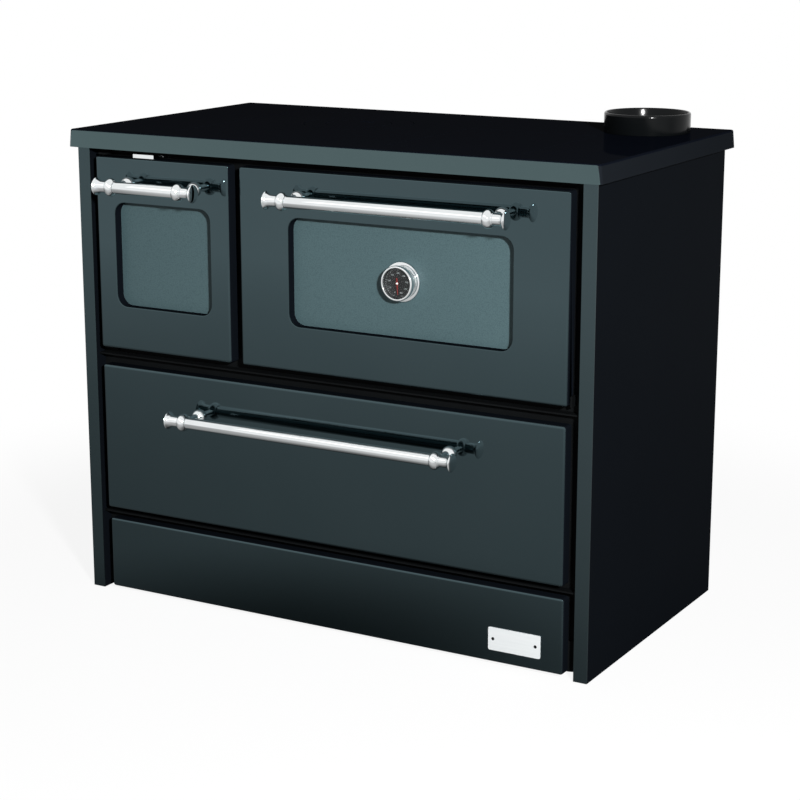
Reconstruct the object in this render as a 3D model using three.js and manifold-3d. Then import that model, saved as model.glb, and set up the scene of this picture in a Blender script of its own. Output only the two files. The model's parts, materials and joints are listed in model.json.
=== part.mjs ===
// A wood-burning kitchen range: a firebox at the left, an oven at the right, a wood drawer below
// them and a plinth, in an enamelled sheet-steel casing with a cast-iron cooking surface.
//
// Millimetres. X runs to the right as one faces the range, Y runs back into it, Z is up.
// Depths are written from the front plane of the side panels (y = 0). The whole group is then
// shifted along Y, so that the origin lies under the middle of the range, on the floor.

import * as THREE from 'three';
import { mergeVertices } from 'three/addons/utils/BufferGeometryUtils.js';
import Module from 'manifold-3d';

const wasm = await Module();
wasm.setup();

/* ------------------------------ Driving dimensions ------------------------------ */

// Casing
const CASING_WIDTH = 1006;
const CASING_DEPTH = 538;
const HOB_HEIGHT = 850;
const SHEET = 2; // sheet steel of the casing, doors, drawer front and plinth
const PANEL_LIFT = 2; // side panels end this far above the floor
const FRONT_FLANGE = 25; // folded front edge of a side panel
const FRONT_RETURN = 40; // depth of the fold behind that edge
const REAR_FLANGE = 20;
const SEAT = 0.3; // gap left between pieces that rest on or meet each other
const VENT_LENGTH = 60; // slots low in the back panel
const VENT_HEIGHT = 7;
const VENT_PITCH_X = 90;
const VENT_PITCH_Z = 22;
const VENT_ROWS = 4;
const VENT_COLUMNS = 4;
const OVERRUN = 1; // cutting and joining solids reach this far past the faces they cross

// Base, feet and plinth
const BASE_HEIGHT = 30; // underside of the base pan
const BASE_FLANGE = 30;
const APRON_LIFT = 10; // lower edge of the base pan's front apron, behind the plinth
const FOOT_RADIUS = 20;
const FOOT_PAD = 7;
const FOOT_STEM_RADIUS = 6;
const FOOT_INSET_X = 55;
const FOOT_INSET_Y = 60;
const PLINTH_LIFT = 8.5;
const PLINTH_FOLD = 20;
const BADGE_WIDTH = 96;
const BADGE_HEIGHT = 40;
const BADGE_THICKNESS = 1.5;
const BADGE_EDGE_X = 40; // from the plinth's right end
const BADGE_EDGE_Z = 21.5; // from the plinth's lower edge
const BADGE_RADIUS = 3;

// Hob
const HOB_EDGE = 31; // height of the folded edge
const HOB_EDGE_SHEET = 3;
const HOB_FLARE = 2.5; // the edge leans out by this much at its foot
const HOB_OVER_SIDE = 11;
const HOB_OVER_FRONT = 14.5;
const HOB_OVER_REAR = 22;
const HOB_RADIUS = 9;
const DECK = 5; // thickness of the deck, and of the plates' rims
const PLATE_PAD = 4; // the plates are thicker inside their rims
const LEDGE = 8; // ledge under the plates' rims
const LEDGE_THICKNESS = 4;
const LEDGE_WALL = 6;
const PLATE_INSET_LEFT = 184; // from the hob's edges to the plates
const PLATE_INSET_RIGHT = 168;
const PLATE_INSET_FRONT = 71.5;
const PLATE_LEFT_WIDTH = 429;
const PLATE_LEFT_DEPTH = 413;
const PLATE_RIGHT_DEPTH = 288;
const PLATE_GAP = 0.8; // seam between plates, ring, lid and deck
const RING_INSET_X = 214; // ring's middle to the left plate's right edge
const RING_INSET_Y = 150; // and to its rear edge
const RING_RADIUS = 100;
const LID_RADIUS = 60;
const LIFTER_LENGTH = 26;
const LIFTER_WIDTH = 8;
const LIFTER_DEPTH = 3;
const ROUND_SEGMENTS = 36; // facets of ring, lid and their seats

// Flue collar
const COLLAR_INSET_X = 121; // collar's middle to the hob's right edge
const COLLAR_INSET_Y = 114; // and to its rear edge
const COLLAR_RADIUS = 75;
const COLLAR_WALL = 4.5;
const COLLAR_HEIGHT = 35;
const COLLAR_RIM = 3; // rounding of the rim
const SPIGOT_WALL = 4;
const SPIGOT_DROP = 4; // the spigot ends this far below the deck
const COLLAR_SEGMENTS = 32;

// Doors, drawer and the gaps between them
const FRONT_PROUD = 6; // fronts stand this far before the side panels
const FRONT_FOLD = 22; // depth of a front's folded edges
const FRONT_ROUND = 4;
const FRONT_CORNER = 5;
const DOOR_SIDE_GAP = 17.5;
const DOOR_TOP_GAP = 14;
const DOOR_HEIGHT = 343;
const FIRE_DOOR_WIDTH = 281;
const DOORS_GAP = 22;
const DRAWER_SIDE_GAP = 19;
const DRAWER_TOP_GAP = 32;
const DRAWER_HEIGHT = 268;
const PLINTH_TOP_GAP = 22;
const FIRE_RECESS_WIDTH = 203;
const OVEN_RECESS_WIDTH = 422;
const RECESS_HEIGHT = 185.5;
const RECESS_DROP = 79.5; // from the door's top edge
const RECESS_DEPTH = 18;
const RECESS_RADIUS = 21;
const INSET_LAP = 6;
const LINER_SHEET = 3;
const LINER_MARGIN = 6;
const GASKET_GAP = 3; // from the window's edge to the gasket
const GASKET_WIDTH = 7;
const GASKET_CORNER = 4;
const HINGE_INSET = 6.5; // hinge axis to the door's edge
const HINGE_DEPTH = 16; // hinge axis behind the door's face
const HINGE_PIN_RADIUS = 3;
const HINGE_PIN_CLEARANCE = 0.5;
const HINGE_PIN_REACH = 10;
const HINGE_ARM = 3;
const HINGE_ARM_HALF = 9;
const HINGE_ARM_MARGIN = 2; // arm before the pin
const CATCH_LENGTH = 30;
const CATCH_WIDTH = 7;
const CATCH_GAP = 2;

// Front frame behind the doors
const FRAME_SETBACK = 26;
const FRAME_SHEET = 3;
const WINDOW_LAP_SIDE = 28.5; // frame covered by the door beside a window
const WINDOW_LAP_TOP = 29;
const WINDOW_LAP_BOTTOM = 19;
const DRAWER_LAP = 20;
const DRAWER_LAP_Z = 8;
const RAIL_DROP = 14.5; // rail lip under the doors
const RAIL_SHEET = 2.5;
const RAIL_REACH = 18;

// Air slider above the fire door
const SLIDER_INSET_X = 106; // slider's middle to the fire door's left edge
const SLIDER_TAB_WIDTH = 44;
const SLIDER_TAB_REACH = 34; // from the frame to the front of the tab
const SLIDER_LIP = 6.5;
const SLIDER_SHEET = 2;
const SLIDER_LENGTH = 170;
const SLIDER_HEIGHT = 28;
const SLIDER_TRAVEL = 20; // each way
const SLIDER_STEM = 24;
const SLIDER_TAB_LIFT = 1.5; // above the fire door's top edge
const SLIDER_TAB_SETBACK = 4; // from the frame to the back of the tab
const SLIDER_HEAD = 7; // plate above the tab's underside
const SLIDER_CLEARANCE = 0.5;
const GUIDE_SHEET = 1.5;
const GUIDE_LIP = 5;
const AIR_SLOT_LENGTH = 24;
const AIR_SLOT_HEIGHT = 7;
const AIR_SLOT_PITCH = 46;
const AIR_SLOT_COUNT = 3;
const AIR_SLOT_RISE = 2; // above the slider's lower edge

// Firebox and oven
const INNER_SHEET = 3;
const INNER_SIDE_GAP = 8;
const INNER_REAR_GAP = 10;
const DIVIDER_RISE = 19; // above the windows' top
const BRICK = 25;
const BRICK_RISE = 4;
const FIREBOX_DEPTH = 400;
const ASH_SPACE = 81; // floor to the grate bed
const GRATE_BED = 10;
const GRATE_WIDTH = 150;
const GRATE_LENGTH = 260;
const GRATE_FRONT = 80; // from the front frame
const GRATE_REBATE = 10;
const GRATE_THICKNESS = 4.5;
const GRATE_SLOTS = 7;
const GRATE_SLOT_WIDTH = 9;
const GRATE_BORDER = 12;
const GRATE_BAR = 10; // bar across the middle of the slots
const BED_SHELF = 12;
const SUPPORT_MARGIN = 10; // shelves and ribs end this far inside their chamber
const ASH_PAN_WIDTH = 170;
const ASH_PAN_DEPTH = 390;
const ASH_PAN_HEIGHT = 66;
const ASH_PAN_SHEET = 1.5;
const ASH_PAN_SETBACK = 19; // behind the front frame
const ASH_PULL_WIDTH = 50;
const ASH_PULL_REACH = 12;
const ASH_PULL_SHEET = 2;
const ASH_PULL_LIP = 8;
const ASH_PULL_LEVEL = 0.6; // of the pan's height
const OVEN_SHEET = 2;
const OVEN_DEPTH = 420;
const RIB = 8;
const RIB_THICKNESS = 3;
const TRAY_LEVEL = 70; // above the oven's floor
const RACK_LEVEL = 175;
const TRAY_DEPTH = 22;
const TRAY_SHEET = 1.6;
const SHELF_LENGTH = 380;
const SHELF_SETBACK = 16; // behind the front frame
const SHELF_PLAY = 0.6;
const RACK_ROD = 3;
const RACK_BARS = 13;

// Wood drawer
const DRAWER_BOX_MARGIN = 28; // narrower than the front, each side
const DRAWER_BOX_SHEET = 1.5;
const DRAWER_BOX_LIFT = 14; // above the front's lower edge
const DRAWER_BOX_HEIGHT = 220;
const DRAWER_BOX_DEPTH = 480;
const RUNNER_SHEET = 3;
const RUNNER_LEG = 24;
const RUNNER_LAP = 14; // leg under the box

// Thermometer
const GAUGE_RADIUS = 29.5;
const GAUGE_DEPTH = 22;
const GAUGE_BEZEL = 3.8;
const GAUGE_WALL = 2;
const GAUGE_ROUND = 2.5;
const GAUGE_RIM = 10; // depth of the bezel before the case's neck
const GAUGE_NECK_RADIUS = 28;
const GAUGE_FLANGE = 4; // thickness of the rear flange
const GAUGE_FLANGE_RADIUS = 33.5;
const DIAL_DEPTH = 7; // dial face behind the bezel's front
const DIAL_THICKNESS = 1;
const GLASS_THICKNESS = 1.4;
const GLASS_DEPTH = 1.2;
const NEEDLE_LENGTH = 19;
const NEEDLE_TAIL = 9;
const NEEDLE_THICKNESS = 0.8;
const NEEDLE_HUB = 3;
const NEEDLE_GAP = 0.7; // behind the glass
const SHAFT_RADIUS = 1;
const NEEDLE_REST = 176; // degrees clockwise from upright, cold
const PROBE_RADIUS = 4;
const PROBE_LENGTH = 48;
const PROBE_CLEARANCE = 0.5;

// Handles
const HANDLE_STANDOFF = 48; // bar axis to the front's face
const BAR_RADIUS = 10.5;
const NECK_RADIUS = 9.3;
const END_RADIUS = 15.5;
const END_REACH = 34; // bead's middle to the bar's end
const BEAD_RADIUS = 15.5;
const BEAD_HALF = 11;
const BEAD_CLEARANCE = 0.3;
const STEM_RADIUS = 6;
const ROSETTE_RADIUS = 13;
const ROSETTE_HEIGHT = 10;
const FIRE_HANDLE_HALF = 70.5; // middle of the handle to a post
const OVEN_HANDLE_HALF = 190.7;
const DRAWER_HANDLE_HALF = 250;
const DOOR_HANDLE_DROP = 45.5; // from the door's top edge
const DRAWER_HANDLE_DROP = 72;

/* ------------------------------ Sizes worked out ------------------------------ */

const halfCasing = CASING_WIDTH / 2;
const deckUnder = HOB_HEIGHT - DECK;
const hobUnder = HOB_HEIGHT - HOB_EDGE;
const bayHalf = halfCasing - FRONT_FLANGE;
const frameBack = FRAME_SETBACK + FRAME_SHEET;
const innerFront = frameBack + SEAT;
const baseTop = BASE_HEIGHT + SHEET;
const backPanelBack = CASING_DEPTH - SHEET - SEAT;
const backPanelFront = backPanelBack - SHEET;

const doorTop = hobUnder - DOOR_TOP_GAP;
const doorBottom = doorTop - DOOR_HEIGHT;
const doorSpan = [-bayHalf + DOOR_SIDE_GAP, bayHalf - DOOR_SIDE_GAP];
const fireDoorX = [doorSpan[0], doorSpan[0] + FIRE_DOOR_WIDTH];
const ovenDoorX = [fireDoorX[1] + DOORS_GAP, doorSpan[1]];
const drawerX = [-bayHalf + DRAWER_SIDE_GAP, bayHalf - DRAWER_SIDE_GAP];
const drawerTop = doorBottom - DRAWER_TOP_GAP;
const drawerBottom = drawerTop - DRAWER_HEIGHT;
const plinthTop = drawerBottom - PLINTH_TOP_GAP;

const windowZ = [doorBottom + WINDOW_LAP_BOTTOM, doorTop - WINDOW_LAP_TOP];
const fireWindowX = [fireDoorX[0] + WINDOW_LAP_SIDE, fireDoorX[1] - WINDOW_LAP_SIDE];
const ovenWindowX = [ovenDoorX[0] + WINDOW_LAP_SIDE, ovenDoorX[1] - WINDOW_LAP_SIDE];
const fireX = (fireDoorX[0] + fireDoorX[1]) / 2;
const ovenX = (ovenDoorX[0] + ovenDoorX[1]) / 2;

const innerHalf = bayHalf - INNER_SIDE_GAP;
const innerBack = CASING_DEPTH - INNER_REAR_GAP;
const innerFloor = windowZ[0];
const doorsMiddle = (fireDoorX[1] + ovenDoorX[0]) / 2;
const dividerX = [doorsMiddle - INNER_SHEET / 2, doorsMiddle + INNER_SHEET / 2];
const bedUnder = innerFloor + ASH_SPACE;
const bedTop = bedUnder + GRATE_BED;
const bedX = [-innerHalf + INNER_SHEET + SEAT, dividerX[0] - SEAT];
const brickRear = innerFront + FIREBOX_DEPTH;
const bedRear = brickRear + SEAT + BRICK;
const shelfFront = frameBack + SHELF_SETBACK;

const faceY = -FRONT_PROUD;
const hingeY = faceY + HINGE_DEPTH;
const linerBack = FRONT_FOLD + SEAT + LINER_SHEET; // behind a front's face
const sliderX = fireDoorX[0] + SLIDER_INSET_X;
const sliderZ = doorTop + SLIDER_TAB_LIFT;
const sliderBottom = sliderZ + SLIDER_HEAD - SLIDER_HEIGHT;
const airSlotZ = sliderBottom + AIR_SLOT_RISE;

const hobFront = -HOB_OVER_FRONT;
const hobRear = CASING_DEPTH + HOB_OVER_REAR;
const hobHalf = halfCasing + HOB_OVER_SIDE;
const plateLeftEnd = -hobHalf + PLATE_INSET_LEFT;
const plateSeam = plateLeftEnd + PLATE_LEFT_WIDTH;
const plateRightEnd = hobHalf - PLATE_INSET_RIGHT;
const plateFront = hobFront + PLATE_INSET_FRONT;
const plateLeftRear = plateFront + PLATE_LEFT_DEPTH;
const plateRightRear = plateFront + PLATE_RIGHT_DEPTH;
const ringX = plateSeam - RING_INSET_X;
const ringY = plateLeftRear - RING_INSET_Y;
const collarX = hobHalf - COLLAR_INSET_X;
const collarY = hobRear - COLLAR_INSET_Y;
const handleFront = faceY - HANDLE_STANDOFF - Math.max(BEAD_RADIUS, END_RADIUS);

/* ------------------------------ Finishes ------------------------------ */

const finish = (color, roughness, metalness) => () =>
  new THREE.MeshStandardMaterial({ color, roughness, metalness });

const slateEnamel = finish(0x39464a, 0.28, 0.1);
const sideEnamel = finish(0x10181b, 0.3, 0.1);
const hobEnamel = finish(0x0c1114, 0.22, 0.15);
const grainEnamel = finish(0x56686a, 0.6, 0.1);
const frameBlack = finish(0x0a0d0e, 0.6, 0.2);
const castIron = finish(0x16191a, 0.55, 0.4);
const flueBlack = finish(0x050607, 0.15, 0.2);
const chrome = finish(0xe6e9ea, 0.08, 1.0);
const brushedPlate = finish(0xb9bcba, 0.35, 0.9);
const zincSheet = finish(0x8b9091, 0.45, 0.8);
const ovenEnamel = finish(0x1d2226, 0.25, 0.1);
const fireBrick = finish(0xb9a784, 0.95, 0.0);
const ropeGrey = finish(0x3a3a38, 0.95, 0.0);
const dialBlack = finish(0x101214, 0.5, 0.0);
const needleRed = finish(0xb3261e, 0.4, 0.0);
const clearGlass = finish(0xdfe8e8, 0.05, 0.0);

/* ------------------------------ Solids ------------------------------ */

// A closed geometry as a solid that can be joined and cut.
function solid(geometry) {
  const bare = geometry.clone();
  bare.deleteAttribute('normal');
  bare.deleteAttribute('uv');
  const merged = mergeVertices(bare, 1e-4);
  return new wasm.Manifold(new wasm.Mesh({
    numProp: 3,
    vertProperties: new Float32Array(merged.attributes.position.array),
    triVerts: new Uint32Array(merged.index.array),
  }));
}

// A solid as a geometry for a mesh.
function geometryOf(body) {
  const { vertProperties, triVerts } = body.getMesh();
  const geometry = new THREE.BufferGeometry();
  geometry.setAttribute('position', new THREE.BufferAttribute(new Float32Array(vertProperties), 3));
  geometry.setIndex(new THREE.BufferAttribute(new Uint32Array(triVerts), 1));
  geometry.computeVertexNormals();
  return geometry;
}

const join = (first, ...rest) => rest.reduce((sum, next) => sum.add(next), first);
const cut = (first, ...rest) => rest.reduce((left, next) => left.subtract(next), first);

// A block between two faces on each axis.
function block([x0, x1], [y0, y1], [z0, z1]) {
  const box = new THREE.BoxGeometry(x1 - x0, y1 - y0, z1 - z0);
  return solid(box.translate((x0 + x1) / 2, (y0 + y1) / 2, (z0 + z1) / 2));
}

const spread = (centre, half) => [centre - half, centre + half];
const inset = ([low, high], margin) => [low + margin, high - margin];

function roundedRectangle([x0, x1], [z0, z1], radius) {
  const shape = new THREE.Shape();
  shape.absarc(x1 - radius, z0 + radius, radius, -Math.PI / 2, 0);
  shape.absarc(x1 - radius, z1 - radius, radius, 0, Math.PI / 2);
  shape.absarc(x0 + radius, z1 - radius, radius, Math.PI / 2, Math.PI);
  shape.absarc(x0 + radius, z0 + radius, radius, Math.PI, 1.5 * Math.PI);
  return shape;
}

const polygon = (points) => new THREE.Shape(points.map(([x, y]) => new THREE.Vector2(x, y)));

// A plan outline raised from z0 to z1.
function upright(shape, [z0, z1], curveSegments = 6) {
  const options = { depth: z1 - z0, bevelEnabled: false, curveSegments };
  return solid(new THREE.ExtrudeGeometry(shape, options).translate(0, 0, z0));
}

// A front outline, drawn in X and Z, carried back from y0 to y1.
function facing(shape, [y0, y1], curveSegments = 5) {
  const options = { depth: y1 - y0, bevelEnabled: false, curveSegments };
  const geometry = new THREE.ExtrudeGeometry(shape, options).rotateX(Math.PI / 2);
  return solid(geometry.translate(0, y1, 0));
}

// A profile of [radius, height] points turned about the Y axis, from low to high.
const turned = (profile, segments = 24) =>
  new THREE.LatheGeometry(profile.map(([r, h]) => new THREE.Vector2(r, h)), segments);
const turnedAlongY = (profile, segments) => solid(turned(profile, segments));
const turnedAlongX = (profile, segments) => solid(turned(profile, segments).rotateZ(-Math.PI / 2));
const turnedAlongZ = (profile, segments) => solid(turned(profile, segments).rotateX(Math.PI / 2));

const rodProfile = (radius, [low, high]) => [[0, low], [radius, low], [radius, high], [0, high]];

const rodAlongX = (radius, span, y, z, segments = 16) =>
  turnedAlongX(rodProfile(radius, span), segments).translate([0, y, z]);
const rodAlongY = (radius, span, x, z, segments = 16) =>
  turnedAlongY(rodProfile(radius, span), segments).translate([x, 0, z]);
const rodAlongZ = (radius, span, x, y, segments = 16) =>
  turnedAlongZ(rodProfile(radius, span), segments).translate([x, y, 0]);

function piece(name, body, material, parent) {
  const mesh = new THREE.Mesh(geometryOf(body), material());
  mesh.name = name;
  parent.add(mesh);
  return mesh;
}

function groupAt(x, y, z, parent) {
  const group = new THREE.Group();
  group.position.set(x, y, z);
  parent.add(group);
  return group;
}

const stove = new THREE.Group();
stove.position.y = -(handleFront + hobRear) / 2;

/* ------------------------------ Casing ------------------------------ */

// A side panel is one folded sheet: front edge with its return, side, and rear flange.
function sidePanel(name, side) {
  const outer = side * halfCasing;
  const skin = outer - side * SHEET;
  const edge = side * bayHalf;
  const edgeSkin = edge + side * SHEET;
  const rear = outer - side * REAR_FLANGE;
  const outline = polygon([
    [outer, 0], [edge, 0], [edge, FRONT_RETURN], [edgeSkin, FRONT_RETURN], [edgeSkin, SHEET],
    [skin, SHEET], [skin, CASING_DEPTH - SHEET], [rear, CASING_DEPTH - SHEET],
    [rear, CASING_DEPTH], [outer, CASING_DEPTH],
  ]);
  piece(name, upright(outline, [PANEL_LIFT, deckUnder - SEAT]), sideEnamel, stove);
}

function backPanel() {
  const width = spread(0, halfCasing - SHEET - SEAT);
  const height = [baseTop + SEAT, deckUnder - SEAT];
  const through = [backPanelFront - OVERRUN, backPanelBack + OVERRUN];
  let panel = block(width, [backPanelFront, backPanelBack], height);
  for (let row = 0; row < VENT_ROWS; row += 1) {
    for (let column = 0; column < VENT_COLUMNS; column += 1) {
      const x = (column - (VENT_COLUMNS - 1) / 2) * VENT_PITCH_X;
      const z = plinthTop + row * VENT_PITCH_Z;
      panel = cut(panel, block(spread(x, VENT_LENGTH / 2), through, spread(z, VENT_HEIGHT / 2)));
    }
  }
  piece('back_panel', panel, zincSheet, stove);
}

// The base pan is a floor with its sides turned up and an apron along its front, notched at the
// front corners for the side panels' folds. The apron carries the plinth. The back panel stands
// on the floor's rear edge.
function basePan() {
  const front = PLINTH_FOLD + SEAT;
  const notch = FRONT_RETURN + SEAT;
  const narrow = spread(0, bayHalf - SEAT);
  const wide = spread(0, halfCasing - SHEET - SEAT);
  const floorZ = [BASE_HEIGHT, baseTop];
  const flangeZ = [BASE_HEIGHT, baseTop + BASE_FLANGE];
  const sideY = [notch, backPanelFront - SEAT];
  const pan = join(
    block(narrow, [front, notch + OVERRUN], floorZ),
    block(wide, [notch, backPanelBack], floorZ),
    block(narrow, [front, front + SHEET], [APRON_LIFT, flangeZ[1]]),
    block([wide[0], wide[0] + SHEET], sideY, flangeZ),
    block([wide[1] - SHEET, wide[1]], sideY, flangeZ),
  );
  piece('base_pan', pan, frameBlack, stove);
}

function foot(name, x, y) {
  const top = BASE_HEIGHT - SEAT;
  const profile = [
    [0, 0], [FOOT_RADIUS - 1, 0], [FOOT_RADIUS, 1], [FOOT_RADIUS, FOOT_PAD - 2],
    [FOOT_STEM_RADIUS + 3, FOOT_PAD + 1], [FOOT_STEM_RADIUS, FOOT_PAD + 1], [FOOT_STEM_RADIUS, top], [0, top],
  ];
  piece(name, turnedAlongZ(profile, 14), zincSheet, groupAt(x, y, 0, stove));
}

// The front frame carries the doors and closes the fire and oven chambers to the front.
function frontFrame() {
  const width = spread(0, bayHalf - SEAT);
  const through = [FRAME_SETBACK - OVERRUN, frameBack + OVERRUN];
  const drawerWindow = block(
    inset(drawerX, DRAWER_LAP), through, inset([drawerBottom, drawerTop], DRAWER_LAP_Z),
  );
  const windows = [fireWindowX, ovenWindowX].map((x) => block(x, through, windowZ));
  const airSlots = airSlotCentres().map((x) => block(
    spread(x, AIR_SLOT_LENGTH / 2), through, [airSlotZ, airSlotZ + AIR_SLOT_HEIGHT],
  ));
  const stemHalf = SLIDER_STEM / 2 + SLIDER_TRAVEL + SLIDER_CLEARANCE;
  const stemSlot = block(
    spread(sliderX, stemHalf), through, inset([sliderZ, sliderZ + SLIDER_SHEET], -SLIDER_CLEARANCE),
  );
  const railY = [FRAME_SETBACK - RAIL_REACH, FRAME_SETBACK + OVERRUN];
  const rail = (z) => block(width, railY, [z - RAIL_SHEET, z]);
  const sheet = block(width, [FRAME_SETBACK, frameBack], [baseTop + SEAT, deckUnder - SEAT]);
  const rails = [doorBottom - RAIL_DROP, (drawerBottom + plinthTop) / 2].map(rail);
  const opened = cut(join(sheet, ...rails), drawerWindow, ...windows, ...airSlots, stemSlot);
  piece('front_frame', join(opened, ...sliderGuides()), frameBlack, stove);
}

function airSlotCentres() {
  const places = Array.from({ length: AIR_SLOT_COUNT }, (_, i) => i - (AIR_SLOT_COUNT - 1) / 2);
  return places.map((place) => sliderX + place * AIR_SLOT_PITCH);
}

// Two angle strips, welded behind the frame, in which the air slider runs.
function sliderGuides() {
  const x = spread(sliderX, SLIDER_LENGTH / 2 + SLIDER_TRAVEL / 2);
  const sliderBack = frameBack + SEAT + SLIDER_SHEET + SEAT;
  const depth = [frameBack - OVERRUN, sliderBack + GUIDE_SHEET];
  const low = sliderBottom - SLIDER_CLEARANCE;
  const high = sliderBottom + SLIDER_HEIGHT + SLIDER_CLEARANCE;
  return [
    block(x, depth, [low - GUIDE_SHEET, low]),
    block(x, [sliderBack, depth[1]], [low - GUIDE_SHEET, low + GUIDE_LIP]),
    block(x, depth, [high, high + GUIDE_SHEET]),
    block(x, [sliderBack, depth[1]], [high - GUIDE_LIP, high + GUIDE_SHEET]),
  ];
}

// The slider covers and opens the air slots. Its tab stands out above the fire door.
function airSlider() {
  const plateY = [frameBack + SEAT, frameBack + SEAT + SLIDER_SHEET];
  const plateZ = [sliderBottom, sliderBottom + SLIDER_HEIGHT];
  const tabFront = FRAME_SETBACK - SLIDER_TAB_REACH;
  const tabX = spread(sliderX, SLIDER_TAB_WIDTH / 2);
  const tabZ = [sliderZ, sliderZ + SLIDER_SHEET];
  const holes = airSlotCentres().map((x) => block(
    spread(x, AIR_SLOT_LENGTH / 2), inset(plateY, -OVERRUN), [airSlotZ, airSlotZ + AIR_SLOT_HEIGHT],
  ));
  const slider = join(
    cut(block(spread(sliderX, SLIDER_LENGTH / 2), plateY, plateZ), ...holes),
    block(spread(sliderX, SLIDER_STEM / 2), [tabFront + OVERRUN, plateY[1]], tabZ),
    block(tabX, [tabFront, FRAME_SETBACK - SLIDER_TAB_SETBACK], tabZ),
    block(tabX, [tabFront, tabFront + SLIDER_SHEET], [sliderZ, sliderZ + SLIDER_LIP]),
  );
  piece('air_slider', slider, chrome, stove);
}

/* ------------------------------ Fronts ------------------------------ */

// A folded front: a tray with rounded edges, open at the back. Its face lies at y = 0.
function foldedFront(width, height, fold) {
  const bevel = {
    depth: fold, bevelEnabled: true, bevelThickness: FRONT_ROUND, bevelSize: FRONT_ROUND,
    bevelOffset: -FRONT_ROUND, bevelSegments: 2, curveSegments: 3,
  };
  const outline = roundedRectangle([0, width], [0, height], FRONT_CORNER);
  const geometry = new THREE.ExtrudeGeometry(outline, bevel).rotateX(Math.PI / 2);
  const outside = solid(geometry.translate(0, fold + FRONT_ROUND, 0));
  const behind = block(
    inset([0, width], -OVERRUN), [fold, fold + 3 * FRONT_ROUND], inset([0, height], -OVERRUN),
  );
  const hollow = block(inset([0, width], SHEET), [SHEET, fold + OVERRUN], inset([0, height], SHEET));
  return cut(outside, behind, hollow);
}

function plinth() {
  const [left, right] = drawerX;
  const body = foldedFront(right - left, plinthTop - PLINTH_LIFT, PLINTH_FOLD);
  const group = groupAt(left, 0, PLINTH_LIFT, stove);
  piece('plinth', body, slateEnamel, group);
  const badgeX = [right - left - BADGE_EDGE_X - BADGE_WIDTH, right - left - BADGE_EDGE_X];
  const badgeZ = [BADGE_EDGE_Z, BADGE_EDGE_Z + BADGE_HEIGHT];
  const badge = roundedRectangle(badgeX, badgeZ, BADGE_RADIUS);
  piece('badge_plate', facing(badge, [-SEAT - BADGE_THICKNESS, -SEAT], 3), brushedPlate, group);
}

// A rail handle: a turned bar through two beads on stems. Its origin is the bar's middle,
// projected onto the front's face.
function handle(name, half, parent) {
  const end = half + END_REACH;
  const shoulder = half + BEAD_HALF - 1.5;
  const halfProfile = [
    [0, 0], [END_RADIUS - 3, 0], [END_RADIUS, 1.4], [END_RADIUS, 3.2], [END_RADIUS - 2, 5],
    [NECK_RADIUS + 1, 9], [NECK_RADIUS, 14],
  ];
  const left = halfProfile.map(([r, h]) => [r, h - end]);
  const right = halfProfile.map(([r, h]) => [r, end - h]).reverse();
  const seat = [
    [NECK_RADIUS, -shoulder], [BAR_RADIUS, -shoulder], [BAR_RADIUS, shoulder], [NECK_RADIUS, shoulder],
  ];
  const bar = turnedAlongX([...left, ...seat, ...right], 16).translate([0, -HANDLE_STANDOFF, 0]);
  piece(`${name}_handle_bar`, bar, chrome, parent);
  piece(`${name}_handle_post_left`, handlePost(), chrome, groupAt(-half, 0, 0, parent));
  piece(`${name}_handle_post_right`, handlePost(), chrome, groupAt(half, 0, 0, parent));
}

function handlePost() {
  const steps = 6;
  const bead = Array.from({ length: steps + 1 }, (_, i) => {
    const angle = (Math.PI * i) / steps;
    return [i % steps === 0 ? 0 : BEAD_RADIUS * Math.sin(angle), -BEAD_HALF * Math.cos(angle)];
  });
  const stem = [
    [0, -HANDLE_STANDOFF], [STEM_RADIUS, -HANDLE_STANDOFF], [STEM_RADIUS, -ROSETTE_HEIGHT],
    [ROSETTE_RADIUS * 0.8, -ROSETTE_HEIGHT * 0.75], [ROSETTE_RADIUS, -ROSETTE_HEIGHT * 0.25],
    [ROSETTE_RADIUS, -SEAT], [0, -SEAT],
  ];
  const bore = rodAlongX(BAR_RADIUS + BEAD_CLEARANCE, spread(0, 2 * BEAD_HALF), -HANDLE_STANDOFF, 0, 16);
  const ball = turnedAlongX(bead, 16).translate([0, -HANDLE_STANDOFF, 0]);
  return cut(join(ball, turnedAlongY(stem, 12)), bore);
}

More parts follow.
